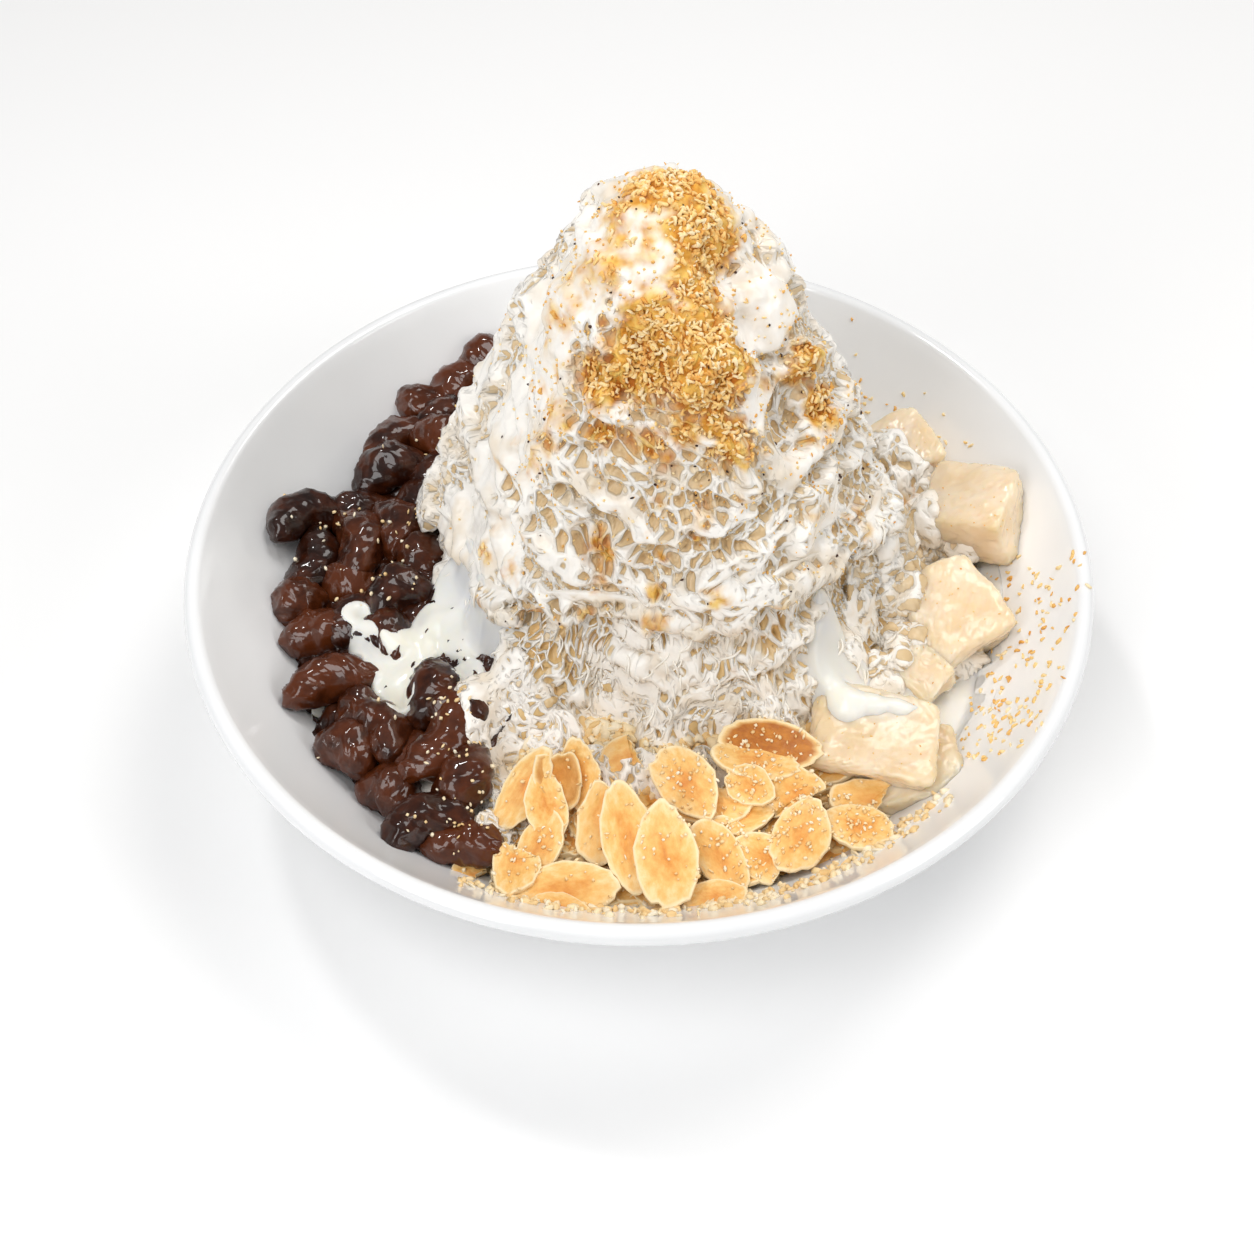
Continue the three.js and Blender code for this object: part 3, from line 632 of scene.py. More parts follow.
# %% Windows
cover = add(lace, MATH, [add(lace, MATH, [bank, 0.2], operation="MULTIPLY"),
                         add(lace, MATH, [closed, 0.7], operation="MULTIPLY")], operation="ADD")
large, small = (
    window_mask(lace, bent, cover, rate[size], **{**windows, "softness": SLOPE_IN_MESH})[0]
    for size, windows in (("Window size", LARGE_WINDOWS), ("Small window size", SMALL_WINDOWS)))
small = add(lace, MATH, [small, SMALL_DEPTH], operation="MULTIPLY")
hollow = add(lace, MATH, [large, small], operation="MAXIMUM")
strand = add(lace, MATH, [1.0, strand], operation="SUBTRACT")
strand = add(lace, MATH, [strand, fray], operation="MULTIPLY")
beside_strand = add(lace, MATH, [strand, -0.6, 1.0], operation="MULTIPLY_ADD")
hollow = add(lace, MATH, [hollow, beside_strand], operation="MULTIPLY")

# %% [markdown]
# Powder lies in speckles. It fills the windows and stands in grains.

# %% Powder in the lace
SPECKLES = 380.0  # 2.6 mm, with finer ones in them
speckle = add(lace, NOISE, {**seeded, "Vector": place, "Scale": SPECKLES, "Detail": 4.0},
              noise_dimensions="4D")
dust = add(lace, MATH, [speckle, 1.0, powder], operation="MULTIPLY_ADD")
dust = add(lace, RANGE, {"Value": dust, "From Min": 0.75, "From Max": 1.2},
           interpolation_type="SMOOTHSTEP")
dust = add(lace, MATH, [dust, dusty], operation="MULTIPLY")
unfilled = add(lace, MATH, [dust, -0.7, 1.0], operation="MULTIPLY_ADD")
hollow = add(lace, MATH, [hollow, unfilled], operation="MULTIPLY")
hollow = add(lace, MATH, [hollow, free], operation="MULTIPLY")
grain = add(lace, CELLS, {"Vector": bent, "Scale": rate["Grain size"]}, feature="F1")
grain = add(lace, MATH, [grain, -1.1, 0.7], operation="MULTIPLY_ADD")
grain = add(lace, MATH, [grain, dust], operation="MULTIPLY")

# %% [markdown]
# Where milk has closed the ice it hangs in slow drapes, and where it is open it has small knobs. The
# relief adds up all of this, and the masks are stored, so that the material reads them.

# %% The relief
DRAPES, KNOBS = 130.0, 300.0  # 8 mm, longer downwards, and 3.3 mm
LONGER_DOWN = (1.0, 1.0, 0.4)
drape = add(lace, VECTOR_MATH, [place, LONGER_DOWN], operation="MULTIPLY")
reliefs = []
for vector, scale, detail, more, least in ((drape, DRAPES, 2.0, 0.0042, 0.001),
                                           (bent, KNOBS, 1.5, -0.0012, 0.0016)):
    pattern = add(lace, NOISE, {**seeded, "Vector": vector, "Scale": scale, "Detail": detail},
                  noise_dimensions="4D")
    pattern = add(lace, MATH, [pattern, 0.5], operation="SUBTRACT")
    size = add(lace, MATH, [closed, more, least], operation="MULTIPLY_ADD")
    reliefs.append(add(lace, MATH, [pattern, size], operation="MULTIPLY"))
drape, knobs = reliefs

rise = add(lace, MATH, [bank, 0.4], operation="SUBTRACT")
rise = add(lace, MATH, [rise, given["Bank height"]], operation="MULTIPLY")
lower = add(lace, MATH, [closed, -0.6, 1.0], operation="MULTIPLY_ADD")
grain = add(lace, MATH, [grain, given["Grain height"]], operation="MULTIPLY")
sunk = add(lace, MATH, [hollow, given["Window depth"]], operation="MULTIPLY")
for operation, value in (("MULTIPLY", lower), ("ADD", drape), ("ADD", knobs), ("ADD", grain),
                         ("SUBTRACT", sunk), ("MULTIPLY", free)):
    rise = add(lace, MATH, [rise, value], operation=operation)
kept = given["Geometry"]
for name, kind, value in (("hollow", "FLOAT", hollow), ("dust", "FLOAT", dust), ("cover", "FLOAT", cover),
                          ("bent", "FLOAT_VECTOR", bent)):
    kept = add(lace, "GeometryNodeStoreNamedAttribute", {"Geometry": kept, "Name": name}, data_type=kind,
               domain="POINT")
    value_number = next(number for number, socket in enumerate(kept.inputs)
                        if socket.name == "Value" and socket.enabled)
    feed(lace, kept, {value_number: value})
end_tree(lace, move_along_normals(lace, kept, rise), given["Material"], out)

# %% [markdown]
# ## Milky shaved ice
# The surface is shaved milk ice under poured cream: tiny ice crystals held in fat and sugar. They
# scatter all light close to where it enters, so the ice is opaque and nearly white. The cream is
# wet and gives small bright highlights. Behind a window there is only thin wet ice, which is
# beige, and the beige is painted darker the deeper the window is, as painted shade in the hole.
# Soybean powder colours the cream gold where it soaks in, and is quite matt; its darker brown is
# painted shade between crumbs and in the windows.

# %% Milky shaved ice
PATCHES, GRAINS, CRYSTALS = 120.0, 420.0, 900.0  # 8 mm, 2.4 mm and 1.1 mm


def milky_ice(name, shaded_floor_colour, window_size, small_window_size):
    """White and glossy on the banks, beige in the windows and painted darker as shade the deeper they are,
    golden where powder has soaked in and painted browner as shade between crumbs and in the windows.
    """
    material, tree, shader, coords = new_material(name)
    stored = {key: add(tree, STORED, attribute_name=key).outputs for key in ("bent", "cover", "dust", "free")}
    bent, free, dust = stored["bent"]["Vector"], stored["free"]["Fac"], stored["dust"]["Fac"]
    cover = stored["cover"]["Fac"]
    large, near_large = window_mask(tree, bent, cover, 1 / window_size, **LARGE_WINDOWS)
    small, near_small = window_mask(tree, bent, cover, 1 / small_window_size, **SMALL_WINDOWS)
    small = add(tree, MATH, [small, SMALL_DEPTH], operation="MULTIPLY")
    hollow = add(tree, MATH, [large, small], operation="MAXIMUM")
    hollow = add(tree, MATH, [hollow, free], operation="MULTIPLY")
    patches = add(tree, NOISE, {"Vector": coords, "Scale": PATCHES, "Detail": 3.0})
    grains = add(tree, NOISE, {"Vector": coords, "Scale": GRAINS, "Detail": 4.0})
    crystals = add(tree, NOISE, {"Vector": coords, "Scale": CRYSTALS, "Detail": 2.0})

    uneven = add(tree, MATH, [patches, 1.1, 0.35], operation="MULTIPLY_ADD")
    # Window floors are beige ice, painted darker the deeper the window is: painted shade in the holes.
    depth = add(tree, MATH, [hollow, uneven], operation="MULTIPLY")
    shown = add(tree, RANGE, {"Value": depth, "From Min": 0.05, "From Max": 0.4})
    cream = add(tree, MIX, {0: shown, 6: add(tree, RAMP, [patches], [(0.34, "#f4e8d6"), (0.52, "#fffbf4")]),
                            7: add(tree, RAMP, [depth], [(0.3, "#f4e8d2"), (0.95, shaded_floor_colour)])},
                data_type="RGBA")
    # Powder is painted browner where its grain noise is low and in the windows: painted shade between crumbs
    # and in holes, over the powder's own uneven gold.
    powder_tone_and_shade = add(tree, MATH, [hollow, -0.22, grains], operation="MULTIPLY_ADD")
    powder = add(tree, RAMP, [powder_tone_and_shade], [(0.22, "#b96c1c"), (0.4, "#e0a03c"), (0.64, "#f5ce70")])

    sunk = add(tree, MATH, [near_large, near_small], operation="MAXIMUM")
    sunk = add(tree, MATH, [sunk, free], operation="MULTIPLY")
    sunk = add(tree, MATH, [sunk, 0.8, hollow], operation="MULTIPLY_ADD")
    height = add(tree, MATH, [crystals, 0.15, sunk], operation="MULTIPLY_ADD")
    wet = add(tree, RANGE, {"Value": patches, "From Min": 0.35, "From Max": 0.65,
                            "To Min": 0.12, "To Max": 0.3})
    feed(tree, shader, {
        "Base Color": add(tree, MIX, {0: dust, 6: cream, 7: powder}, data_type="RGBA"),
        "Roughness": add(tree, MIX, {0: dust, 2: wet, 3: 0.7}, data_type="FLOAT"),
        "Normal": add(tree, BUMP, {"Height": height, "Strength": 0.7, "Distance": 0.0006}, invert=True),
        "IOR": 1.36})
    return material


PEAK_LACE = {"Bank size": 0.0068, "Bank height": 0.0028, "Window size": 0.003, "Window depth": 0.0013,
             "Small window size": 0.0019, "Strand size": 0.0015, "Grain size": 0.0014, "Grain height": 0.0009,
             "Upright": 1.0, "Seed": 3.0}
SKIRT_LACE = {**PEAK_LACE, "Bank size": 0.008, "Window size": 0.0022, "Window depth": 0.0015,
              "Small window size": 0.0014, "Strand size": 0.0013, "Upright": 0.42, "Seed": 7.0}
# The second colour of each material is the deepest window floor: beige ice with painted shade.
peak_ice, skirt_ice = (
    milky_ice(name, shaded_floor_colour, sizes["Window size"], sizes["Small window size"])
    for name, shaded_floor_colour, sizes in (("milky shaved ice", "#dfc397", PEAK_LACE),
                                     ("shaved ice in threads", "#e0bf88", SKIRT_LACE)))
run_tree(ice_peak, lace, {**PEAK_LACE, "Material": peak_ice})
finish_piece(ice_peak, "shaved_ice", "shaved_ice")
run_tree(ice_skirt, lace, {**SKIRT_LACE, "Material": skirt_ice})
finish_piece(ice_skirt, "shaved_ice")

# %% [markdown]
# ## A tree that scatters
# Powder, crumbs and threads are many copies of one small shape on a surface. The tree spreads
# points by an attribute of the surface, turns each copy to the surface and then at random, gives
# it a tint of its own, and makes the copies real. Only the copies are kept, not the surface.

# %% Scattering
numbers = ("Per square metre", "Smallest", "Largest", "Lift", "Turn", "Lean", "Downhill")
scatter, given, out = new_tree("scatter over a surface", {
    "Shape": "Object", **dict.fromkeys(numbers, "Float"), "Seed": "Int", "Material": "Material"})
where = add(scatter, "GeometryNodeInputNamedAttribute", {"Name": "where"}, data_type="FLOAT")
spread = add(scatter, "GeometryNodeDistributePointsOnFaces", {
    "Mesh": given["Geometry"], "Seed": given["Seed"],
    "Density": add(scatter, MATH, [where, given["Per square metre"]], operation="MULTIPLY")},
    distribute_method="RANDOM")
normal = spread.outputs["Normal"]
lift = add(scatter, VECTOR_MATH, {0: normal, "Scale": given["Lift"]}, operation="SCALE")
lifted = add(scatter, "GeometryNodeSetPosition", {"Geometry": spread, "Offset": lift})
facing = add(scatter, "FunctionNodeAlignRotationToVector", {"Vector": normal}, axis="Z")
downhill = add(scatter, "FunctionNodeAlignRotationToVector", {
    "Rotation": facing, "Factor": given["Downhill"], "Vector": (0.0, 0.0, -1.0)}, axis="X",
    pivot_axis="Z")
minus_turn, minus_lean = (add(scatter, MATH, [given[name], -1.0], operation="MULTIPLY")
                          for name in ("Turn", "Lean"))
angles = add(scatter, "FunctionNodeRandomValue", {
    0: add(scatter, JOINED, [minus_lean, minus_lean, minus_turn]),
    1: add(scatter, JOINED, [given["Lean"], given["Lean"], given["Turn"]]),
    "Seed": given["Seed"]}, data_type="FLOAT_VECTOR")
rotation = add(scatter, "FunctionNodeRotateRotation", {
    "Rotation": downhill, "Rotate By": add(scatter, "FunctionNodeEulerToRotation", [angles])},
    rotation_space="LOCAL")
size_seed, tint_seed = (add(scatter, MATH, [given["Seed"], step], operation="ADD") for step in (17.0, 31.0))
size = add(scatter, "FunctionNodeRandomValue", {
    0: given["Smallest"], 1: given["Largest"], "Seed": size_seed}, data_type="FLOAT_VECTOR")
shape = add(scatter, "GeometryNodeObjectInfo", {"Object": given["Shape"]})
copies = add(scatter, "GeometryNodeInstanceOnPoints", {
    "Points": lifted, "Instance": shape.outputs["Geometry"], "Rotation": rotation, "Scale": size})
tint = add(scatter, "FunctionNodeRandomValue", {2: 0.0, 3: 1.0, "Seed": tint_seed}, data_type="FLOAT")
tinted = add(scatter, "GeometryNodeStoreNamedAttribute", {"Geometry": copies, "Name": "tint", "Value": tint},
             data_type="FLOAT", domain="INSTANCE")
end_tree(scatter, tinted, given["Material"], out)


# %% Pieces and small shapes for scattering
def scatter_over(name, surface, where, shape, slot, per_square_metre, **values):
    """A piece of copies of a shape over a surface. Where gives 0 to 1 for each of its points, in mm."""
    piece = bpy.data.objects.new(name, surface.data.copy())
    bpy.context.scene.collection.objects.link(piece)
    mesh = piece.data
    stored = mesh.attributes.new("where", "FLOAT", "POINT")
    shares = np.asarray(where(read(mesh.vertices, "co", 3) / MM, mesh), np.float32)
    stored.data.foreach_set("value", shares)
    mesh.materials.clear()
    settings = {"Lift": 0.0, "Turn": math.pi, "Lean": 0.3, "Downhill": 0.0, **values}
    run_tree(piece, scatter, {"Shape": shape, "Per square metre": per_square_metre, **settings})
    return finish_piece(piece, slot)


def small_shape(name, points, faces):
    """A small shape to copy, which isn't in the scene itself."""
    shape = make_piece(name, points, faces)
    bpy.context.scene.collection.objects.unlink(shape)
    return shape


def rod(length, width, bow, rings=5, sides=5, wobble=0.0):
    """A bent rod along X in mm, thin at its ends, for crumbs and threads."""
    part = np.linspace(0, 1, rings)[:, None]
    turn = whole_turn(sides)
    wide = width / 2 * np.sin(math.pi * (0.12 + 0.76 * part)) ** 0.7
    height = bow * (1 - (2 * part - 1) ** 2)
    sway = wobble * np.sin(part * 5)
    points = np.stack(np.broadcast_arrays((part - 0.5) * length, sway + wide * np.cos(turn),
                                          height + wide * np.sin(turn)), -1).reshape(-1, 3)
    ends = [[-length / 2, 0, 0], [length / 2, wobble * math.sin(5), 0]]
    return np.concatenate([points, ends]), capped_faces(rings, sides)


# %% [markdown]
# ## Roasted soybean powder
# Injeolmi powder is roasted soybeans ground coarsely. Damp milk makes it stick in short curled
# crumbs about a millimetre long, and single grains fall everywhere. A few bits of dark skin are in
# it. Crumbs are pale gold, with darker toasted ones between them. A dry powder is quite matt.

# %% Soybean powder
GRAIN_OF_POWDER, MOTTLED_SKIN = 1500.0, 900.0  # 0.7 mm and 1.1 mm
soy, tree, shader, coords = new_material("roasted soybean powder")
tint = add(tree, STORED, attribute_name="tint").outputs["Fac"]
grain = add(tree, NOISE, {"Vector": coords, "Scale": GRAIN_OF_POWDER, "Detail": 2.0})
half = add(tree, MATH, [grain, 0.5], operation="MULTIPLY")
mixed = add(tree, MATH, [tint, 0.75, half], operation="MULTIPLY_ADD")
feed(tree, shader, {
    "Base Color": add(tree, RAMP, [mixed], [(0.2, "#df9a40"), (0.4, "#f2bf6e"), (0.7, "#fbd992"),
                                            (1.0, "#ffecc2")]),
    "Normal": add(tree, BUMP, {"Height": grain, "Strength": 0.4, "Distance": 0.0004}),
    "Roughness": 0.85})

skin_bits, tree, shader, coords = new_material("roasted bean skin")
dark = add(tree, NOISE, {"Vector": coords, "Scale": MOTTLED_SKIN})
feed(tree, shader, {"Base Color": add(tree, RAMP, [dark], [(0.4, "#2a130a"), (0.7, "#5a3018")]),
                    "Roughness": 0.6})

# %% Crumbs, grains and dark specks
crumb = small_shape("crumb", *rod(1.35, 0.85, 0.2, rings=5, sides=5, wobble=0.35))
small_grain = small_shape("grain", *rod(0.65, 0.55, 0.0, rings=3, sides=4))
scatter_over("powder_crumbs", ice_peak, lambda points, mesh: soft_step(powder_at(points), 0.38, 0.9), crumb,
             "shaved_ice", 1200000, Smallest=0.45, Largest=1.3, Lift=0.0002, Lean=0.6, Seed=3, Material=soy)


WIDER_POWDER = [(x, y, z, 2.1 * radius, strength) for x, y, z, radius, strength in POWDER_AND_SHADE_SPOTS]


def dusty(points, mesh):
    """Loose grains lie thick round the powder and thinly over the whole front."""
    front = soft_step(points[:, 0] * 0.35 - points[:, 1], -15, 20)
    return np.clip(near(points, WIDER_POWDER) + 0.06 + 0.1 * front, 0, 1)


scatter_over("powder_grains", ice_peak, dusty, small_grain, "shaved_ice", 300000, Smallest=0.4, Largest=1.3,
             Lift=0.0001, Lean=1.5, Seed=5, Material=soy)
scatter_over("dark_specks", ice_peak, dusty, small_grain, "shaved_ice", 16000, Smallest=0.5, Largest=1.2,
             Lift=0.0001, Lean=1.5, Seed=9, Material=skin_bits)

# %% [markdown]
# ## Threads of ice
# Where the milk thins out, the lace ends in fine threads. A few lie over the holes low on the peak,
# and below the ledge they hang down side by side and stand out like bristles. They are frozen
# cream, opaque and glossy, so they catch the light as thin bright lines.

# %% Threads
cream_thread, tree, shader, coords = new_material("cream frozen on a thread of ice")
feed(tree, shader, {"Base Color": linear("#fffaf0"), "Roughness": 0.25})

thread = small_shape("thread", *rod(4.2, 0.5, 0.5, rings=7, sides=5, wobble=0.35))


def loose_front(points, mesh):
    """Threads grow where the surface is open lace, not where milk has closed it."""
    front = soft_step(-points[:, 1], -5, 20)
    open_lace = read(mesh.attributes["hollow"].data, "value") * (1 - smooth_at(points))
    return open_lace * front * soft_step(96 - points[:, 2], 0, 20)


scatter_over("threads_on_peak", ice_peak, loose_front, thread, "shaved_ice", 12000, Smallest=0.4, Largest=0.9,
             Lift=-0.0003, Lean=0.1, Seed=21, Material=cream_thread)


def hanging(points, mesh):
    """Hanging threads cover the skirt between its start under the ledge and the toppings."""
    free = read(mesh.attributes["free"].data, "value")
    return free * (1 - 0.7 * smooth_at(points)) * soft_step(points[:, 2], 22, 30)


scatter_over("threads_on_skirt", ice_skirt, hanging, thread, "shaved_ice", 60000, Smallest=0.6, Largest=1.3,
             Lift=-0.0003, Turn=0.5, Lean=0.12, Downhill=1.0, Seed=25, Material=cream_thread)

# %% [markdown]
# ## Sweet red beans
# The beans are boiled until soft and kept in thick syrup. Their skins wrinkle, and the syrup makes
# them glossy and dark. Each bean has the place and length of its CAD bean, with many more faces,
# then one tree wrinkles them all. A row of the table is a bean's x, y, z, yaw, pitch and length.

# %% Beans in the heap
BEAN_WIDTH, BEAN_HEIGHT = 10.5, 9.0
BEAN_LATTICE = (34, 30)
BEANS = [(-34, 66, 34, 24, 14, 15), (-41, 60, 32, 39, 12, 16), (-49, 54, 31, 80, 10, 12),
         (-43, 50, 32, 22, -5, 13), (-53, 43, 31, 37, -8, 19), (-44, 41, 33, -32, 10, 14),
         (-54, 33, 32, 24, 7, 18), (-71, 18, 33, 46, -22, 20), (-51, 15, 33, -76, 8, 18),
         (-59, 12, 32, -78, 6, 21), (-68, 8, 30, -100, -3, 19), (-49, -4, 34, 21, 15, 14),
         (-66, -10, 29, 16, 12, 14), (-61, -24, 31, 21, 0, 19), (-56, -40, 30, -36, 10, 15),
         (-49, -37, 32, -56, 0, 16), (-40, -30, 35, -101, -13, 14), (-34, -34, 36, -6, 10, 13),
         (-37, -41, 35, -121, -14, 21), (-33, -49, 33, -119, -20, 16), (-47, -49, 29, -37, 8, 13),
         (-39, -58, 32, 19, 0, 18), (-32, -61, 30, -9, 10, 15), (-51, -14, 32, -33, 12, 14)]
HEAP_BEANS = [(-60, 22, 29, 60, 0, 14), (-60, 2, 29, -20, 0, 13), (-58, -8, 30, 70, 0, 13),
              (-46, 24, 31, 10, 5, 13), (-44, 6, 33, 60, 5, 13), (-44, 32, 31, 100, 0, 12),
              (-54, -30, 28, 60, 0, 12), (-42, -42, 30, 20, 0, 12), (-47, 46, 29, 60, 0, 12),
              (-70, -2, 29, 40, 8, 12), (-38, 54, 30, 120, 0, 12), (-55, -21, 27, 0, 0, 13)]


# %% Turning, balls and joining
def turned(points, yaw, pitch, roll):
    """Points turned by roll about X, then pitch about Y, then yaw about Z, in degrees."""
    turn = (Matrix.Rotation(math.radians(yaw), 3, "Z") @ Matrix.Rotation(math.radians(-pitch), 3, "Y")
            @ Matrix.Rotation(math.radians(roll), 3, "X"))
    return points @ np.array(turn).T


def ball(rows, columns):
    """Points and faces of a unit ball with its poles on the X axis."""
    polar = np.linspace(0, math.pi, rows + 1)[1:-1, None]
    turn = whole_turn(columns)
    grid = np.stack(np.broadcast_arrays(-np.cos(polar), np.sin(polar) * np.cos(turn),
                                        np.sin(polar) * np.sin(turn)), -1).reshape(-1, 3)
    return np.concatenate([grid, [[-1, 0, 0], [1, 0, 0]]]), capped_faces(rows - 1, columns)


def join(parts):
    """Points, faces and named numbers of several parts as one."""
    starts = np.cumsum([0] + [len(part[0]) for part in parts[:-1]])
    points = np.concatenate([part[0] for part in parts])
    faces = np.concatenate([part[1] + start for part, start in zip(parts, starts)])
    values = {key: np.concatenate([part[2][key] for part in parts]) for key in parts[0][2]}
    return points, faces, values


# %% One bean, and all of them
def bean(x, y, z, yaw, pitch, length, draw):
    """One kidney bean as points, faces and its own tint."""
    points, faces = ball(*BEAN_LATTICE)
    u, v, w = points.T
    dent = 1 - 0.18 * np.exp(-9 * u ** 2) * np.maximum(0, -v)
    bend = 0.16 * length
    size = draw.uniform(0.94, 1.06)
    full = 1 - 0.1 * u ** 4
    shape = np.stack([u * length / 2, v * dent * full * BEAN_WIDTH * size / 2 - bend * u ** 2 + bend / 3,
                      w * full * BEAN_HEIGHT / 2], 1)
    shape = turned(shape, yaw, pitch, draw.uniform(-50, 50)) + np.array([x, y, z])
    return shape, faces, {"tint": np.full(len(shape), draw.uniform())}


draw = np.random.default_rng(7)
points, faces, values = join([bean(*row, draw) for row in BEANS + HEAP_BEANS])
sweet_beans = make_piece("sweet_red_beans", points, faces, values)
print("beans:", len(BEANS + HEAP_BEANS), "of", len(faces) // len(BEANS + HEAP_BEANS), "triangles each")

# %% [markdown]
# ## A tree for uneven surfaces
# Soft food is never even. One tree moves a surface along its normals by slow lumps and by fine
# wrinkles. Both are noise in space, so two beans never get the same ones. The noise's middle value
# is where a wrinkle lies: it is a crease for a height above zero and a ridge for one below.

# %% Lumps and wrinkles
uneven, given, out = new_tree("lumps and wrinkles", {
    "Lump size": "Float", "Lump height": "Float", "Wrinkle size": "Float", "Wrinkle height": "Float",
    "Material": "Material"})
place = add(uneven, "GeometryNodeInputPosition")
lump_rate, wrinkle_rate = (add(uneven, MATH, [1.0, given[size]], operation="DIVIDE")
                           for size in ("Lump size", "Wrinkle size"))
lumps = add(uneven, NOISE, {"Vector": place, "Scale": lump_rate, "Detail": 1.0})
wrinkles = add(uneven, NOISE, {"Vector": place, "Scale": wrinkle_rate, "Detail": 1.5, "Distortion": 0.9})
lump, ridge = (add(uneven, MATH, [pattern, 0.5], operation="SUBTRACT") for pattern in (lumps, wrinkles))
lump = add(uneven, MATH, [lump, given["Lump height"]], operation="MULTIPLY")
ridge = add(uneven, MATH, [ridge], operation="ABSOLUTE")
ridge = add(uneven, RANGE, {"Value": ridge, "From Min": 0.0, "From Max": 0.12},
            interpolation_type="SMOOTHSTEP")
crease = add(uneven, MATH, [ridge, given["Wrinkle height"]], operation="MULTIPLY")
rise = add(uneven, MATH, [lump, crease], operation="ADD")
rise = add(uneven, MATH, [rise, given["Wrinkle height"]], operation="SUBTRACT")
end_tree(uneven, move_along_normals(uneven, given["Geometry"], rise), given["Material"], out)

# %% [markdown]
# ## Candied bean skin
# A candied bean is a soft starchy body in a thin dark skin, with a film of sugar syrup on it. The
# skin is red-brown, mottled and almost black, and the syrup acts as a clear coat, which gives the
# eye sharp highlights. The beans' heights are below zero, so that their wrinkles are sharp ridges.

# %% Candied bean skin
MOTTLES, FINE_WRINKLES = 260.0, 420.0  # 4 mm and 2.4 mm
bean_skin, tree, shader, coords = new_material("candied bean skin in syrup")
tint = add(tree, STORED, attribute_name="tint").outputs["Fac"]
mottle = add(tree, NOISE, {"Vector": coords, "Scale": MOTTLES, "Detail": 3.0})
wrinkle = add(tree, NOISE, {"Vector": coords, "Scale": FINE_WRINKLES, "Detail": 1.5, "Distortion": 1.2})
mixed = add(tree, MATH, [tint, 0.45], operation="MULTIPLY")
mixed = add(tree, MATH, [mottle, mixed], operation="ADD")
feed(tree, shader, {
    "Base Color": add(tree, RAMP, [mixed], [(0.25, "#130501"), (0.55, "#2c1005"), (0.9, "#57280f")]),
    "Normal": add(tree, BUMP, {"Height": wrinkle, "Strength": 0.25, "Distance": 0.0006}),
    "Roughness": 0.4, "Specular IOR Level": 0.15,
    "Coat Weight": 0.8, "Coat Roughness": 0.04, "Coat IOR": 1.48})

run_tree(sweet_beans, uneven, {"Lump size": 0.007, "Lump height": -0.0026, "Wrinkle size": 0.006,
                               "Wrinkle height": -0.0006, "Material": bean_skin})
finish_piece(sweet_beans, "bean", "sweet_beans")

# %% [markdown]
# ## What fills the heaps
# Under the beans that show there are more beans, sunk in syrup. A wedge of the bowl, bumpy on top,
# stands for them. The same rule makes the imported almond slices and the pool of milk.

# %% Wedges of the bowl
OUTERMOST = 88.0


def closed_sheet(upper, lower):
    """Points and triangles of the body between two lattices of points, with walls round its edge."""
    rows, columns = upper.shape[:2]
    edge, size = lattice_edge(rows, columns), rows * columns
    beyond = np.roll(edge, -1)
    walls = np.concatenate([np.stack([edge, edge + size, beyond + size], 1),
                            np.stack([edge, beyond + size, beyond], 1)])
    upper_faces = lattice_faces(rows, columns)[:, ::-1]
    faces = np.concatenate([upper_faces, upper_faces[:, ::-1] + size, walls[:, ::-1]])
    return np.concatenate([upper.reshape(-1, 3), lower.reshape(-1, 3)]), faces


def wedge(turn_from, turn_to, inner_radius, top, rows=60, columns=200, film=None):
    """A closed wedge between the mound and the bowl's wall. Top gives a height for each radius, and
    film how many millimetres further the wedge wets the wall at each turn."""
    turn = np.radians(np.linspace(turn_from, turn_to, columns))[None, :]
    part = np.linspace(0, 1, rows)[:, None]
    radii = np.linspace(inner_radius, OUTERMOST, 400)
    outer_radius = radii[np.argmax(bowl_floor(radii) + 0.3 > top(radii))]
    if film is not None:
        outer_radius = outer_radius + film(turn)
    radius = inner_radius + (outer_radius - inner_radius) * part + 0 * turn
    wall = bowl_floor(radius)
    height = np.maximum(top(radius), wall + 0.4 * (1 - part ** 12) + 0.06)
    upper = at_turn(radius, turn, height)
    lower = upper.copy()
    lower[..., 2] = np.minimum(wall + (0.25 if film is None else -0.5), height - 0.05)
    return closed_sheet(upper, lower)


def heap_top(inner, outer):
    """Height of a heap's core, from inner at radius 30 mm to outer at the rim, 60 mm further out."""
    return lambda radius: inner + (outer - inner) * (radius - 30) / 60


# %% The beans below
points, faces = wedge(104, 236, 34, heap_top(40, 20))
bean_bed = make_piece("beans_below", points, faces, {"tint": np.full(len(points), 0.1)})
run_tree(bean_bed, uneven, {"Lump size": 0.006, "Lump height": 0.005, "Wrinkle size": 0.004,
                            "Wrinkle height": 0.001, "Material": bean_skin})
finish_piece(bean_bed, "bean")
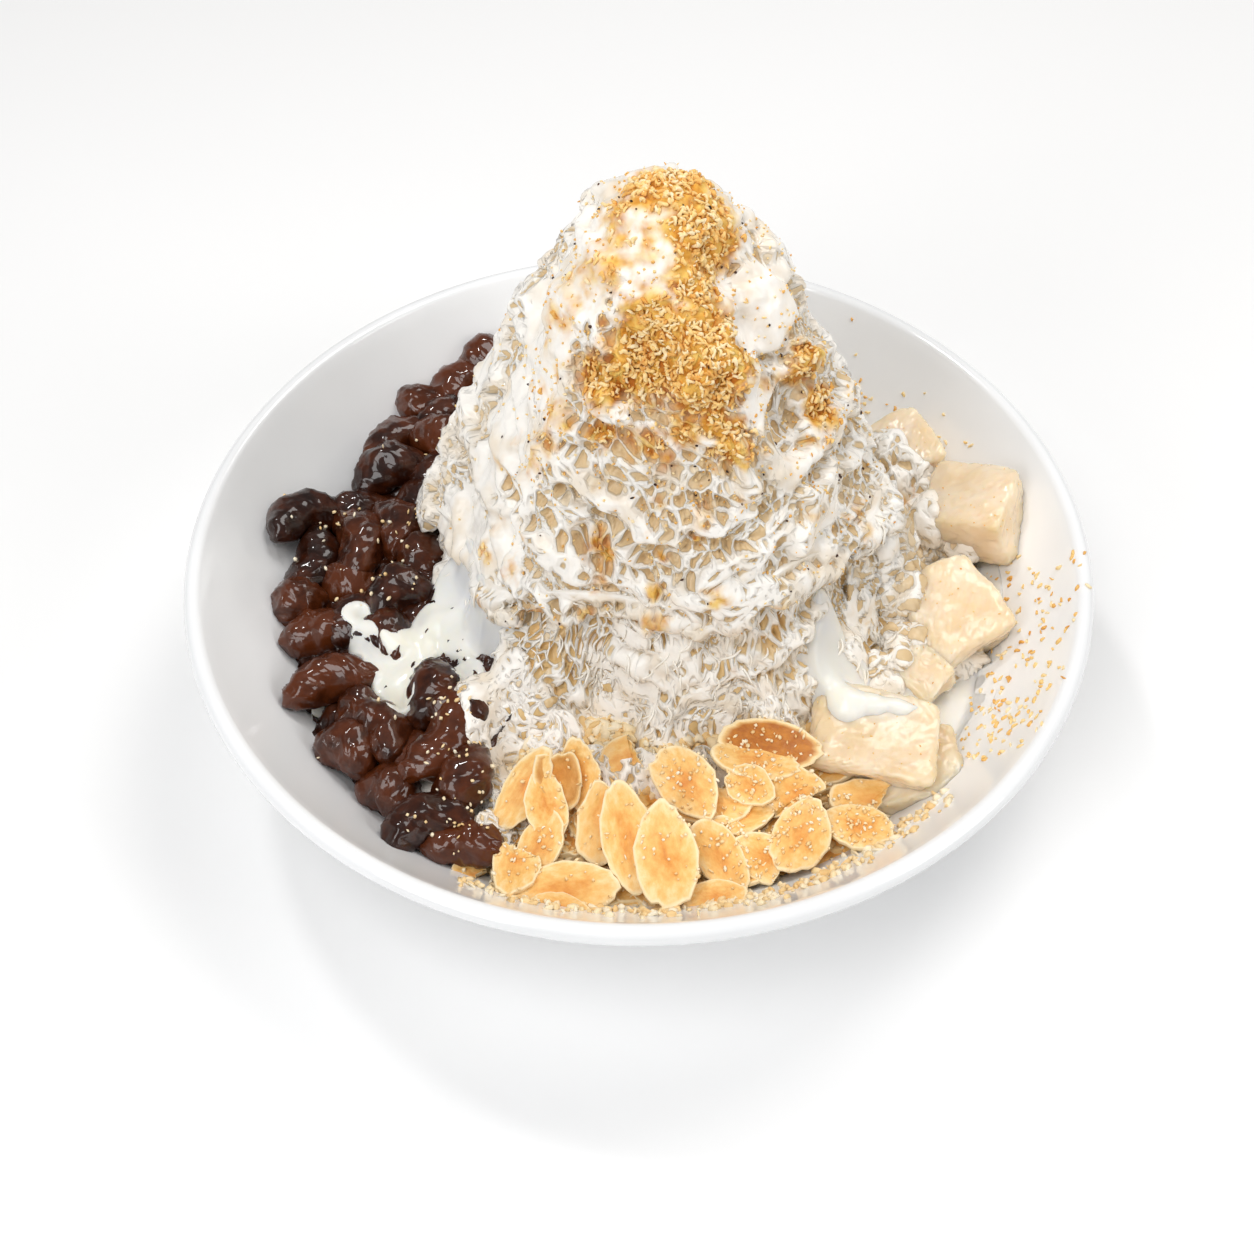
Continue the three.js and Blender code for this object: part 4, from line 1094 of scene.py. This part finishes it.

# %% [markdown]
# ## Toasted almond slices
# Almonds are cut across into slices a good millimetre thick and toasted. A slice is an oval with
# one pointed end, slightly cupped. Its middle toasts to amber and its rim stays pale. Some slices
# go towards the brown of skin over the whole face inside the rim; on the table's second slice this
# brown is painted shade on its shadowed, cupped face. Each slice is a disc of rings, so that the
# material knows rim from middle.
# A row of the table is a slice's x, y, z, yaw, roll, pitch, length and width.

# %% Almond slices
SLICE_THICKNESS = 1.3
SLICE_RINGS, SLICE_COLUMNS = [0.12, 0.3, 0.5, 0.68, 0.82, 0.92, 0.98, 1.0], 32
SLICES = [(-21, -52, 35, 49, 16, 36, 18, 8), (-15, -50, 37, 104, 2, 42, 15, 9),
          (-11, -49, 35, 102, -4, 39, 14, 8), (-17, -55, 34, 103, -4, 31, 14, 8),
          (-22, -66, 32, 81, 5, 1, 15, 9), (-18, -62, 31, 64, 3, 16, 14, 8),
          (-13, -71, 30, 8, 17, -2, 20, 11), (-5, -57, 35, 65, 11, 36, 22, 11),
          (-2, -62, 34, 103, -6, 27, 21, 10), (5, -66, 34, 96, -4, 17, 20, 12),
          (-1, -44, 32.8, 10, 22, 18, 14, 10), (9, -51, 35, -50, 19, -14, 16, 11),
          (15, -64, 30, -55, 12, -19, 16, 9), (18, -62, 29, -62, 9, -20, 14, 8),
          (25, -43, 36, -8, 33, -5, 20, 10), (22, -46, 35, -7, 11, -9, 17, 8),
          (30, -52, 32, -34, 19, -10, 15, 11), (30, -60, 31, 62, 5, 21, 15, 11),
          (41, -58, 31, -23, 10, 9, 14, 9), (44, -51, 29, 1, 13, -7, 17, 9),
          (13, -54, 32, -5, 10, -2, 17, 8), (19, -56, 31, 11, 9, -2, 13, 7),
          (24, -64, 29, -31, 15, -13, 14, 9), (21, -51, 34, -28, 19, -4, 10, 8),
          (14, -72, 29, 5, 9, 7, 12, 7), (-30, -67, 28, -23, 8, -2, 9, 5), (-14, -75, 31, -11, 6, 1, 11, 5)]
# The table's second and fifteenth slices turn towards the skin colour over the face inside the rim; on the
# second slice this brown is painted shade on its shadowed, cupped face.
DARK_SLICES = {1: 0.7, 14: 1.0}
EXTRA_SLICES = 46


# %% One almond slice
def almond_slice(x, y, z, yaw, roll, pitch, length, width, dark, broken, draw):
    """One slice as points and faces, with its own coordinates and numbers for the material."""
    parts = np.array(SLICE_RINGS)
    rings, columns = len(parts), SLICE_COLUMNS
    turn = whole_turn(columns)
    point = 1 - 0.28 * np.maximum(0, np.cos(turn)) ** 1.5
    ragged = 1 + 0.025 * np.sin(3 * turn + draw.uniform(0, 6)) + draw.normal(0, 0.025, columns)
    edge = np.stack([np.cos(turn) * length / 2 * ragged, np.sin(turn) * point * width / 2 * ragged], 1)
    if broken:
        break_at = length * draw.uniform(0.05, 0.3) + edge[:, 1] * draw.uniform(-0.5, 0.5)
        edge[:, 0] = np.minimum(edge[:, 0], break_at + draw.normal(0, 0.25, columns))
    part = parts[:, None]
    flat = part[..., None] * edge[None]
    cup = 0.09 * width * (part ** 2 * np.cos(turn) ** 2 - 0.3)
    bow = draw.uniform(-0.06, 0.06) * width * part ** 2 * np.sin(2 * turn + draw.uniform(0, 6))
    half = SLICE_THICKNESS / 2 * (1 - 0.3 * (part > 0.99)) + 0 * turn
    grooves = 0.1 * np.sin(12 * part + draw.uniform(0, 6)) * (part < 0.95)
    top = np.concatenate([flat, (cup + bow + half + grooves)[..., None]], 2).reshape(-1, 3)
    low = np.concatenate([flat, (cup + bow - half)[..., None]], 2).reshape(-1, 3)
    sunk = 0.027 * width
    middle = np.array([[0, 0, half[0, 0] - sunk], [0, 0, -half[0, 0] - sunk]])
    points = np.concatenate([top, low, middle])
    size = rings * columns
    upper = np.concatenate([lattice_faces(rings, columns, closed=True)[:, ::-1],
                            fan_faces(np.arange(columns), 2 * size)])
    lower = np.concatenate([lattice_faces(rings, columns, closed=True) + size,
                            fan_faces(size + np.arange(columns), 2 * size + 1)[:, ::-1]])
    last = size - columns + np.arange(columns)
    beside = np.roll(last, -1)
    wall = np.concatenate([np.stack([last, beside + size, beside], 1),
                           np.stack([last, last + size, beside + size], 1)])
    ring = np.concatenate([np.repeat(parts, columns), np.repeat(parts, columns), [0, 0]])
    along, across = points[:, 0] / length, points[:, 1] / width
    placed = turned(points, yaw, pitch, roll) + np.array([x, y, z])
    same = np.ones(len(points))
    return placed, np.concatenate([upper, lower, wall]), {
        "ring": ring, "along": along, "across": across, "tint": same * draw.uniform(), "dark": same * dark}


# %% The heap of slices
draw = np.random.default_rng(11)
rows = [(*row, DARK_SLICES.get(number, 0), number % 3 == 1) for number, row in enumerate(SLICES)]
core = heap_top(34, 21)
for number in range(EXTRA_SLICES):
    turn = math.radians(draw.uniform(249, 314))
    radius = draw.uniform(50, 72)
    rows.append((radius * math.cos(turn), radius * math.sin(turn), core(radius) + draw.uniform(0.0, 1.2),
                 draw.uniform(0, 360), draw.uniform(-14, 14), draw.uniform(-14, 14),
                 draw.uniform(10, 15), draw.uniform(6, 9), float(draw.uniform() > 0.85) * 0.6,
                 draw.uniform() < 0.6))
points, faces, values = join([almond_slice(*row, draw) for row in rows])
almond_slices = make_piece("toasted_almond_slices", points, faces, values)

# %% [markdown]
# ## Toasted almond
# An almond's flesh is oily, fine-grained and nearly matt. Toasting browns it in soft patches from
# the middle out, leaves a pale line at the rim, and turns what is left of the skin dark amber. On the
# table's second slice that skin colour is painted shade over the face inside the rim. The
# pattern is drawn in each slice's own lengths, so it lies in the slice and not in space.

# %% Toasted almond
PATCHES_OF_TOAST = 7.0  # waves in a slice's length
ALMOND_GRAIN = 1100.0  # 0.9 mm
toasted, tree, shader, coords = new_material("toasted almond")
ring, along, across, tint, dark = (add(tree, STORED, attribute_name=name).outputs["Fac"]
                                   for name in ("ring", "along", "across", "tint", "dark"))
own = add(tree, JOINED, [along, across, tint])
veins = add(tree, NOISE, {"Vector": own, "Scale": PATCHES_OF_TOAST, "Detail": 4.0, "Roughness": 0.65})
patch = add(tree, MATH, [veins, 0.9], operation="MULTIPLY")
depth = add(tree, MATH, [ring, 0.5, patch], operation="MULTIPLY_ADD")
inside = add(tree, RANGE, {"Value": ring, "From Min": 0.8, "From Max": 0.92, "To Min": 1.0, "To Max": 0.0})
# Slices with a dark number go towards the skin colour inside the rim; on the table's second slice this brown
# is painted shade.
skin_and_shade = add(tree, MATH, [inside, dark], operation="MULTIPLY")
own_tone = add(tree, RANGE, {"Value": tint, "To Min": 0.0, "To Max": 0.35})
rim_line = add(tree, RANGE, {"Value": ring, "From Min": 0.9, "From Max": 0.97, "To Min": 0.0, "To Max": 0.8})
skin = add(tree, RAMP, [veins], [(0.3, "#a85a18"), (0.7, "#cf8328")])
colour = add(tree, RAMP, [depth], [(0.3, "#d27a26"), (0.52, "#e69f48"), (0.76, "#f1c06f"), (1.0, "#f9dca2")])
for amount, towards in ((skin_and_shade, skin), (own_tone, linear("#eab15c")), (rim_line, linear("#fdebc3"))):
    colour = add(tree, MIX, {0: amount, 6: colour, 7: towards}, data_type="RGBA")
grain = add(tree, NOISE, {"Vector": coords, "Scale": ALMOND_GRAIN, "Detail": 3.0})
feed(tree, shader, {
    "Base Color": colour, "Roughness": 0.48,
    "Normal": add(tree, BUMP, {"Height": grain, "Strength": 0.3, "Distance": 0.0006})})
almond_slices.data.materials.append(toasted)
finish_piece(almond_slices, "almond", "almond_slices")

# %% The slices below
points, faces = wedge(241.5, 317, 34, heap_top(33.2, 20.5))
almond_bed = make_piece("almonds_below", points, faces, {
    "ring": np.full(len(points), 0.4), "along": points[:, 0] / 20, "across": points[:, 1] / 20,
    "tint": np.full(len(points), 0.5), "dark": np.zeros(len(points))})
run_tree(almond_bed, uneven, {"Lump size": 0.005, "Lump height": 0.003, "Wrinkle size": 0.004,
                              "Wrinkle height": 0.001, "Material": toasted})
finish_piece(almond_bed, "almond")

# %% [markdown]
# ## Rice cakes
# Rice cakes are cut from a slab of pounded rice, so they are blocks, but soft ones: their edges
# round over, their faces sag and crease where they were pressed. They are rounded blocks with a
# few slow bends, then the uneven tree creases them. A row of the table is a cake's place, its size
# and its turns about X, Y and Z. Steamed dough is dense and damp: light goes a few millimetres
# into it, which softens its shading, and its skin is smooth enough to shine.

# %% Soft blocks
CAKES = [((70, 17, 36), (20, 17, 12), (8, -22, -28)), ((63, -8, 32), (18, 19, 13), (14, -12, 24)),
         ((45, -39, 33), (23, 17, 7), (10, 4, -12)), ((52, -43, 27), (20, 15, 7), (6, -8, 10)),
         ((56, -22, 31), (9, 11, 6), (12, -10, 40)), ((56, 36, 32), (18, 16, 11), (0, -14, 20))]
CAKE_ROUNDING, CAKE_POWER, CAKE_FULLNESS = 0.8, 6.0, 0.535
CAKE_STEPS = 28
HALVINGS, CLEARANCE = 14, 0.05


def block(steps):
    """Points and faces of a unit block with this many steps along each side."""
    line = np.linspace(-0.5, 0.5, steps + 1)
    u, v = np.meshgrid(line, line)
    sides = []
    for axis in range(3):
        for side in (-0.5, 0.5):
            grid = np.zeros((steps + 1, steps + 1, 3))
            grid[..., axis] = side
            grid[..., (axis + 1) % 3] = u
            grid[..., (axis + 2) % 3] = v
            faces = lattice_faces(steps + 1, steps + 1)
            sides.append((grid.reshape(-1, 3), faces if side > 0 else faces[:, ::-1], {}))
    return join(sides)


def weld(piece):
    """Joins points that lie on each other, so that a shape made of sides is closed."""
    mesh = bmesh.new()
    mesh.from_mesh(piece.data)
    bmesh.ops.remove_doubles(mesh, verts=mesh.verts, dist=1e-6)
    bmesh.ops.recalc_face_normals(mesh, faces=mesh.faces)
    mesh.to_mesh(piece.data)
    mesh.free()
    return piece


def lay_in_bowl(piece):
    """Draws points of a piece that are in the bowl's wall towards its middle, until they lie on it."""
    points = read(piece.data.vertices, "co", 3)
    middle = points.mean(0)
    inside, outside = np.zeros(len(points)), np.ones(len(points))
    for _ in range(HALVINGS):
        share = (inside + outside) / 2
        tried = middle + (points - middle) * share[:, None]
        free = tried[:, 2] > (bowl_floor(np.hypot(tried[:, 0], tried[:, 1]) / MM) + CLEARANCE) * MM
        inside, outside = np.where(free, share, inside), np.where(free, outside, share)
    points = middle + (points - middle) * inside[:, None]
    piece.data.vertices.foreach_set("co", points.astype(np.float32).ravel())
    piece.data.update()


# %% Rice dough and rice cakes
DOUGH_CLOUDS, DOUGH_GRAIN = 150.0, 520.0  # 7 mm and 2 mm
rice_dough, tree, shader, coords = new_material("pounded rice dough")
cloud = add(tree, NOISE, {"Vector": coords, "Scale": DOUGH_CLOUDS, "Detail": 3.0})
fine = add(tree, NOISE, {"Vector": coords, "Scale": DOUGH_GRAIN, "Detail": 3.0})
feed(tree, shader, {
    "Base Color": add(tree, RAMP, [cloud], [(0.3, "#ead0a8"), (0.7, "#f5e3ca")]),
    "Normal": add(tree, BUMP, {"Height": fine, "Strength": 0.2, "Distance": 0.0006}),
    "Roughness": 0.2, "Subsurface Weight": 0.7, "Subsurface Radius": (1.0, 0.8, 0.5),
    "Subsurface Scale": 0.004})

for number, (at, size, (about_x, about_y, about_z)) in enumerate(CAKES):
    points, faces, _ = block(CAKE_STEPS)
    roundness = (np.abs(points) ** CAKE_POWER).sum(1) ** (1 / CAKE_POWER)
    softened = points / roundness[:, None] * CAKE_FULLNESS
    shape = points + (softened - points) * CAKE_ROUNDING
    x, y, z = shape.T
    bulge = 1 + 0.05 * np.sin(at[0] + 5 * x + 4 * y) + 0.04 * np.cos(at[1] + 6 * z - 3 * x)
    placed = turned(shape * bulge[:, None] * size, about_z, -about_y, about_x) + at
    cake = weld(make_piece(f"rice_cake_{number + 1}_soft", placed, faces))
    run_tree(cake, uneven, {"Lump size": 0.009, "Lump height": 0.0022, "Wrinkle size": 0.004,
                            "Wrinkle height": 0.0003, "Material": rice_dough})
    lay_in_bowl(cake)
    finish_piece(cake, "rice_cake", f"rice_cake_{number + 1}")

# %% [markdown]
# ## Milk
# Sweet condensed milk and melted ice fill the bowl's right side, and cream has run over beans and
# between the rice cakes. Milk is opaque white because fat scatters light, and it is smooth and wet,
# so it mirrors the lights softly. The pool is a wedge that wets the wall unevenly above its level.

# %% Condensed milk
MILK_CLOUDS = 60.0  # 17 mm
milk, tree, shader, coords = new_material("condensed milk")
cloud = add(tree, NOISE, {"Vector": coords, "Scale": MILK_CLOUDS, "Detail": 2.0})
feed(tree, shader, {
    "Base Color": add(tree, RAMP, [cloud], [(0.3, "#fbf3e2"), (0.7, "#fdfaf4")]),
    "Normal": add(tree, BUMP, {"Height": cloud, "Strength": 0.15, "Distance": 0.001}),
    "Roughness": 0.16, "IOR": 1.38, "Subsurface Weight": 0.6, "Subsurface Radius": (1.0, 0.85, 0.65),
    "Subsurface Scale": 0.002})


# %% The pool of milk
def wetted(turn):
    """How far the milk wets the wall above its level, most beside the rice cakes."""
    beside_cakes = 2.2 * np.exp(-((turn + 0.35) / 0.5) ** 2)
    return 2.2 + beside_cakes + 0.9 * np.sin(5 * turn + 1) + 0.5 * np.sin(13 * turn)


def milk_top(radius):
    """The milk's level at every radius, a little low because its lumps rise above it."""
    return MILK_LEVEL - 0.35 + 0 * radius


points, faces = wedge(-45, 106, 38, milk_top, rows=80, columns=300, film=wetted)
milk_pool = make_piece("pool_of_milk", points, faces)
run_tree(milk_pool, uneven, {"Lump size": 0.02, "Lump height": 0.001, "Wrinkle size": 0.03,
                             "Wrinkle height": 0.0002, "Material": milk})
finish_piece(milk_pool, "milk", "milk_pool")


# %% [markdown]
# ## Cream poured over things
# Cream isn't a shape of its own: it takes the shape of what it runs over. So its sheet starts from
# the height of the food below, found by rays from above. That height is evened out, as cream fills
# hollows, then raised where the cream is thick and sunk where there is none. Its edge is where the
# sheet goes under the food, which lets a bean or a corner of rice cake stand out of it.

# %% The height of what lies below
ABOVE_ALL = 0.2  # in metres; what follows is in millimetres
STEP = 0.45
SUNK_WHERE_NONE = 7.0
SHEET, IN_WALL, DEEPEST_IN_WALL = 1.5, 1.4, 2.2


def height_under(pieces, x, y):
    """Height in mm of the topmost surface of some pieces, or of the bowl, at each x and y."""
    corners, polygons, count = [], [], 0
    for piece in pieces:
        corners += read(piece.data.vertices, "co", 3).tolist()
        loops = read(piece.data.loops, "vertex_index", kind=np.int32)
        polygons += (loops.reshape(-1, 3) + count).tolist()
        count += len(piece.data.vertices)
    below = BVHTree.FromPolygons(corners, polygons)
    found = bowl_floor(np.hypot(x, y))
    for place in np.ndindex(x.shape):
        start = Vector((x[place] * MM, y[place] * MM, ABOVE_ALL))
        hit = below.ray_cast(start, Vector((0, 0, -1)))[0]
        if hit is not None:
            found[place] = max(found[place], hit.z / MM)
    return found


def evened(heights, width):
    """Heights averaged over a width in lattice steps, by a bell curve along both directions."""
    reach = int(3 * width)
    bell = np.exp(-0.5 * (np.arange(-reach, reach + 1) / width) ** 2)
    bell /= bell.sum()
    for axis in (0, 1):
        margins = [(reach, reach) if side == axis else (0, 0) for side in (0, 1)]
        padded = np.pad(heights, margins, mode="edge")
        heights = np.apply_along_axis(np.convolve, axis, padded, bell, "valid")
    return heights


# %% A sheet of cream
def poured(name, spots, over, thickness, fill=1.6, closed=0.0):
    """A sheet of cream over pieces, from spots of x, y, radius and strength. Fill is how far round it
    hollows are evened out, in mm, and closed is how few holes it has."""
    spots = np.array(spots)
    lowest = (spots[:, :2] - spots[:, 2:3] * 1.9).min(0)
    highest = (spots[:, :2] + spots[:, 2:3] * 1.9).max(0)
    x, y = np.meshgrid(np.arange(lowest[0], highest[0], STEP), np.arange(lowest[1], highest[1], STEP))
    amount = np.zeros(x.shape)
    for spot_x, spot_y, radius, strength in spots:
        amount = np.maximum(amount, strength * np.exp(-((x - spot_x) ** 2 + (y - spot_y) ** 2) / radius ** 2))
    amount = evened(amount, 1.5)
    ground = height_under(over, x, y)
    bowl_inside = bowl_floor(np.hypot(x, y))
    bare = 1 - soft_step(amount, 0.2, 0.62)
    top = evened(ground, fill / STEP) + thickness * amount - SUNK_WHERE_NONE * bare
    top = np.maximum(top, bowl_inside - IN_WALL)
    bottom = np.maximum(top - SHEET, bowl_inside - DEEPEST_IN_WALL)
    points, faces = closed_sheet(*(np.stack([x, y, height], -1)[:, ::-1] for height in (top, bottom)))
    return make_piece(name, points, faces, {
        "free": points[:, 2] > bowl_floor(np.hypot(points[:, 0], points[:, 1])) + 1,
        "smooth": np.full(len(points), closed), "powder": np.clip(near(points, DRIFT_POWDER), 0, 1),
        "flow": points[:, 2] * MM})


# %% Where cream and loose ice lie
DRIFT_POWDER = [(56, 25, 30, 6, 0.6), (57, 14, 30, 5, 0.5), (54, 3, 30, 4, 0.45), (50, 33, 30, 5, 0.5)]
BEAN_SPILL = [(-57, -9, 4, 1), (-55, -15, 4, 1), (-51, -19, 5, 1), (-48, -25, 5.5, 1), (-46, -31, 4.5, 1),
              (-44, -18, 6, 1), (-40, -12, 7, 1), (-36, -5, 7, 1), (-34, -17, 7, 1), (-33, -26, 4.5, 1)]
CAKE_SPILL = [(37, -23, 5, 0.8), (38, -28, 6, 1), (43, -27, 6, 1), (49, -27, 5.5, 1), (54, -29, 5, 1),
              (54, -32, 4.5, 1), (40, -34, 5, 1), (45, -34, 4, 0.9), (50, -33, 4.5, 1)]
FRONT_RUN = [(-29, -34, 7, 1), (-31, -33, 5, 1), (-27, -40, 7, 1), (-24, -46, 8, 1), (-22, -51, 7, 1),
             (-26, -58, 5, 1), (-18, -46, 7, 1), (-25, -32, 6, 1), (-21, -36, 6, 1), (-19, -41, 6, 1),
             (-15, -40, 6, 1), (-14, -48, 5, 1), (-8, -45, 6, 1), (-1, -46, 6, 1), (6, -47, 6, 1),
             (13, -46, 6, 1), (20, -44, 6, 1), (27, -40, 6, 1)]
CAKE_DRIFT = [(52, 34, 6, 0.9), (56, 27, 6, 1), (61, 27, 5, 0.8), (57, 20, 6, 1), (57, 13, 6, 1),
              (56, 6, 5, 1), (53, 0, 5, 1), (52, -6, 5, 1), (53, -15, 5, 0.9), (49, -22, 5, 0.9)]
cakes = [bpy.data.objects[f"rice_cake_{number + 1}_soft"] for number in range(len(CAKES))]

# %% Cream, drift and run
spill = poured("cream_over_beans", BEAN_SPILL, [sweet_beans, bean_bed, ice_skirt], 0.8, fill=1.0)
tongue = poured("cream_by_rice_cakes", CAKE_SPILL, [*cakes, ice_skirt, milk_pool], 2.6, fill=2.2)
for piece, node in ((spill, "cream_spill"), (tongue, "cream_tongue")):
    piece.data.materials.append(milk)
    finish_piece(piece, "milk", node)
drift = poured("ice_by_rice_cakes", CAKE_DRIFT, [*cakes, ice_skirt, milk_pool], 5.0, fill=2.0)
run_tree(drift, lace, {**PEAK_LACE, "Window depth": 0.001, "Material": peak_ice})
finish_piece(drift, "shaved_ice")
run = poured("cream_run_in_front", FRONT_RUN, [sweet_beans, bean_bed, ice_skirt, almond_bed], 3.8, fill=3.5,
             closed=0.42)
run_tree(run, lace, {**SKIRT_LACE, "Bank height": 0.0008, "Window depth": 0.0009, "Upright": 0.8,
                     "Material": skirt_ice})
finish_piece(run, "shaved_ice")

# %% [markdown]
# ## Crumbs that fell beside
# Powder was sifted from above, so some of it missed the ice. Crumbs lie on the wet beans, golden
# flakes stick to the bowl's right wall, and bits of almond have slid down to the wall in front.
# Broken almond is paler than a toasted face, and dry, so it is matt. The same tree scatters them
# all, each by a rule of spots.

# %% Rules for crumbs
def facing_up(mesh):
    """1 where a surface faces upwards, for each of its points."""
    return soft_step(read(mesh.vertices, "normal", 3)[:, 2], 0.1, 0.5)


def spots_facing_up(spots, faint=0.0):
    """A rule for scatter_over: thick under spots, faint elsewhere, and only where the surface faces up."""
    seen_from_above = [(x, y, 0.0, radius, strength) for x, y, _, radius, strength in spots]

    def rule(points, mesh):
        return np.clip(near(points * (1, 1, 0), seen_from_above) + faint, 0, 1) * facing_up(mesh)

    return rule


def arc_spots(turn_from, turn_to, radius, count, size, strength):
    """Spots on the inside of the bowl's wall, along an arc at one distance from the axis."""
    return [(*at_turn(radius, turn, bowl_floor(radius)), size, strength)
            for turn in np.radians(np.linspace(turn_from, turn_to, count))]


# %% Crumbs on beans, wall, almonds and rice cakes
BEAN_CRUMBS = [(-34, -36, 38, 6, 0.9), (-31, -44, 37, 6, 1.0), (-32, -52, 35, 6, 0.9),
               (-33, -62, 33, 7, 0.8), (-52, 10, 36, 8, 0.5), (-60, 14, 35, 8, 0.4), (-49, -4, 38, 6, 0.5)]
WALL_FLAKES = (arc_spots(-32, -4, 79, 7, 6, 0.9) + arc_spots(-28, 2, 73, 6, 6, 0.9)
               + arc_spots(32, 52, 72, 5, 6, 0.9) + arc_spots(30, 50, 66, 6, 7, 1.0))
ALMOND_CRUMBS = [(-5, -50, 36, 5, 0.5), (9, -50, 36, 6, 0.9), (22, -50, 34, 5, 0.9), (30, -55, 32, 6, 1.0),
                 (41, -57, 31, 6, 0.9), (15, -60, 31, 5, 0.6), (25, -43, 37, 6, 0.5), (5, -64, 34, 5, 0.3),
                 (-14, -60, 34, 5, 0.3), (-22, -66, 32, 4, 0.5), (24, -64, 29, 6, 0.7)]
RIM_CRUMBS = arc_spots(248, 316, 76.5, 20, 2.6, 1.0)
flake = small_shape("flake", *rod(1.3, 0.85, 0.1, rings=4, sides=5, wobble=0.2))
almond_crumb, tree, shader, coords = new_material("toasted almond crumb")
tint = add(tree, STORED, attribute_name="tint").outputs["Fac"]
pale = add(tree, RAMP, [tint], [(0.0, "#f0c888"), (0.4, "#f9deab"), (1.0, "#fff4da")])
feed(tree, shader, {"Base Color": pale, "Roughness": 0.6})

for name, surface, rule, shape, slot, per_square_metre, smallest, largest, lift, lean, seed, material in (
        ("crumbs_on_beans", sweet_beans, spots_facing_up(BEAN_CRUMBS, 0.02), small_grain, "shaved_ice",
         170000, 0.6, 1.8, 0.0003, 1.5, 31, almond_crumb),
        ("flakes_on_wall", bowl, spots_facing_up(WALL_FLAKES), flake, "shaved_ice", 220000,
         0.4, 1.2, 0.0001, 0.4, 33, soy),
        ("powder_on_almonds", almond_slices, spots_facing_up(ALMOND_CRUMBS, 0.07), small_grain, "shaved_ice",
         800000, 0.5, 1.8, 0.0002, 1.5, 35, almond_crumb),
        ("almond_bits_at_wall", bowl, spots_facing_up(RIM_CRUMBS), flake, "almond", 500000,
         0.5, 2.2, 0.0001, 0.6, 37, almond_crumb),
        ("almond_bits_in_heap", almond_bed, spots_facing_up([], 1.0), flake, "almond", 500000,
         1.0, 3.2, 0.0008, 0.7, 39, almond_crumb)):
    scatter_over(name, surface, rule, shape, slot, per_square_metre, Smallest=smallest, Largest=largest,
                 Lift=lift, Lean=lean, Seed=seed, Material=material)
for number, cake in enumerate(cakes):
    scatter_over(f"powder_on_cake_{number + 1}", cake, spots_facing_up([], 0.6), small_grain, "shaved_ice",
                 120000, Smallest=0.35, Largest=0.9, Lift=0.0, Lean=1.5, Seed=40 + number, Material=soy)

# %% [markdown]
# ## Floor, light and camera
# The set is a pale floor under a faint even sky. Two large soft lights face each other, one from the
# front left and one from the back right, so that both sides of the ice are bright and its relief
# still throws shadows. Two low lights open the shade under the ledge, and a small one at the
# back left gives the wet beans and the cream their sharp highlights.

# %% Floor
FLOOR_CORNERS = [[-1500, -1500, 0], [1500, -1500, 0], [1500, 2500, 0], [-1500, 2500, 0]]
floor_material, tree, shader, coords = new_material("pale studio floor")
feed(tree, shader, {"Base Color": linear("#fbfbfb"), "Roughness": 0.8})
floor = make_piece("studio_floor", FLOOR_CORNERS, [[0, 1, 2], [0, 2, 3]])
floor.data.materials.append(floor_material)

# %% Sky and lights
world = bpy.data.worlds.new("studio sky")
bpy.context.scene.world = world
world.use_nodes = True
feed(world.node_tree, world.node_tree.nodes["Background"], {"Color": linear("#ffffff"), "Strength": 0.17})

LIT_PLACE = Vector((0, 0, 0.05))
LIGHTS = [("front left", (-0.26, -0.37, 0.88), 0.42, 3.0, "#ffffff"),
          ("back right", (0.32, 0.32, 0.88), 0.42, 3.2, "#fffdfa"),
          ("back left", (-0.32, 0.32, 0.88), 0.1, 1.5, "#ffffff"),
          ("low right", (0.74, -0.32, 0.54), 0.4, 2.3, "#ffffff"),
          ("low left", (-0.5, -0.62, 0.5), 0.4, 2.4, "#ffffff")]
for name, place, size, power, colour in LIGHTS:
    light = bpy.data.lights.new(name, "AREA")
    light.size, light.energy = size, power
    light.color = linear(colour)[:3]
    lamp = bpy.data.objects.new(name, light)
    lamp.location = place
    lamp.rotation_euler = (LIT_PLACE - Vector(place)).to_track_quat("-Z", "Y").to_euler()
    bpy.context.scene.collection.objects.link(lamp)
print("lights:", len(LIGHTS), "with", round(sum(row[3] for row in LIGHTS), 1), "watts in all")

# %% [markdown]
# ## Camera
# The camera looks down at the bowl from the front at about 50 degrees, as a person at the table
# does. Its directions are measured ones, so they are made square to each other again.

# %% Camera
CAMERA_PLACE = (0, -0.23569, 0.30475)
AHEAD, ABOVE = Vector((-0.00628, 0.63593, -0.77172)), Vector((0, 0.77174, 0.63594))
FOCAL_PIXELS, PICTURE_PIXELS = 1751, 1254
camera_data = bpy.data.cameras.new("camera")
camera_data.sensor_width = 36.0
camera_data.lens = FOCAL_PIXELS / PICTURE_PIXELS * camera_data.sensor_width
camera_data.clip_start, camera_data.clip_end = 0.01, 10
camera = bpy.data.objects.new("camera", camera_data)
ahead = AHEAD.normalized()
side = ahead.cross(ABOVE.normalized()).normalized()
above = side.cross(ahead).normalized()
turn = Matrix([side, above, -ahead]).transposed().to_4x4()
camera.matrix_world = Matrix.Translation(CAMERA_PLACE) @ turn
bpy.context.scene.collection.objects.link(camera)
bpy.context.scene.camera = camera
bpy.context.scene.view_settings.view_transform = "Standard"
print("camera looks down by", round(math.degrees(math.asin(-ahead.z))), "degrees")
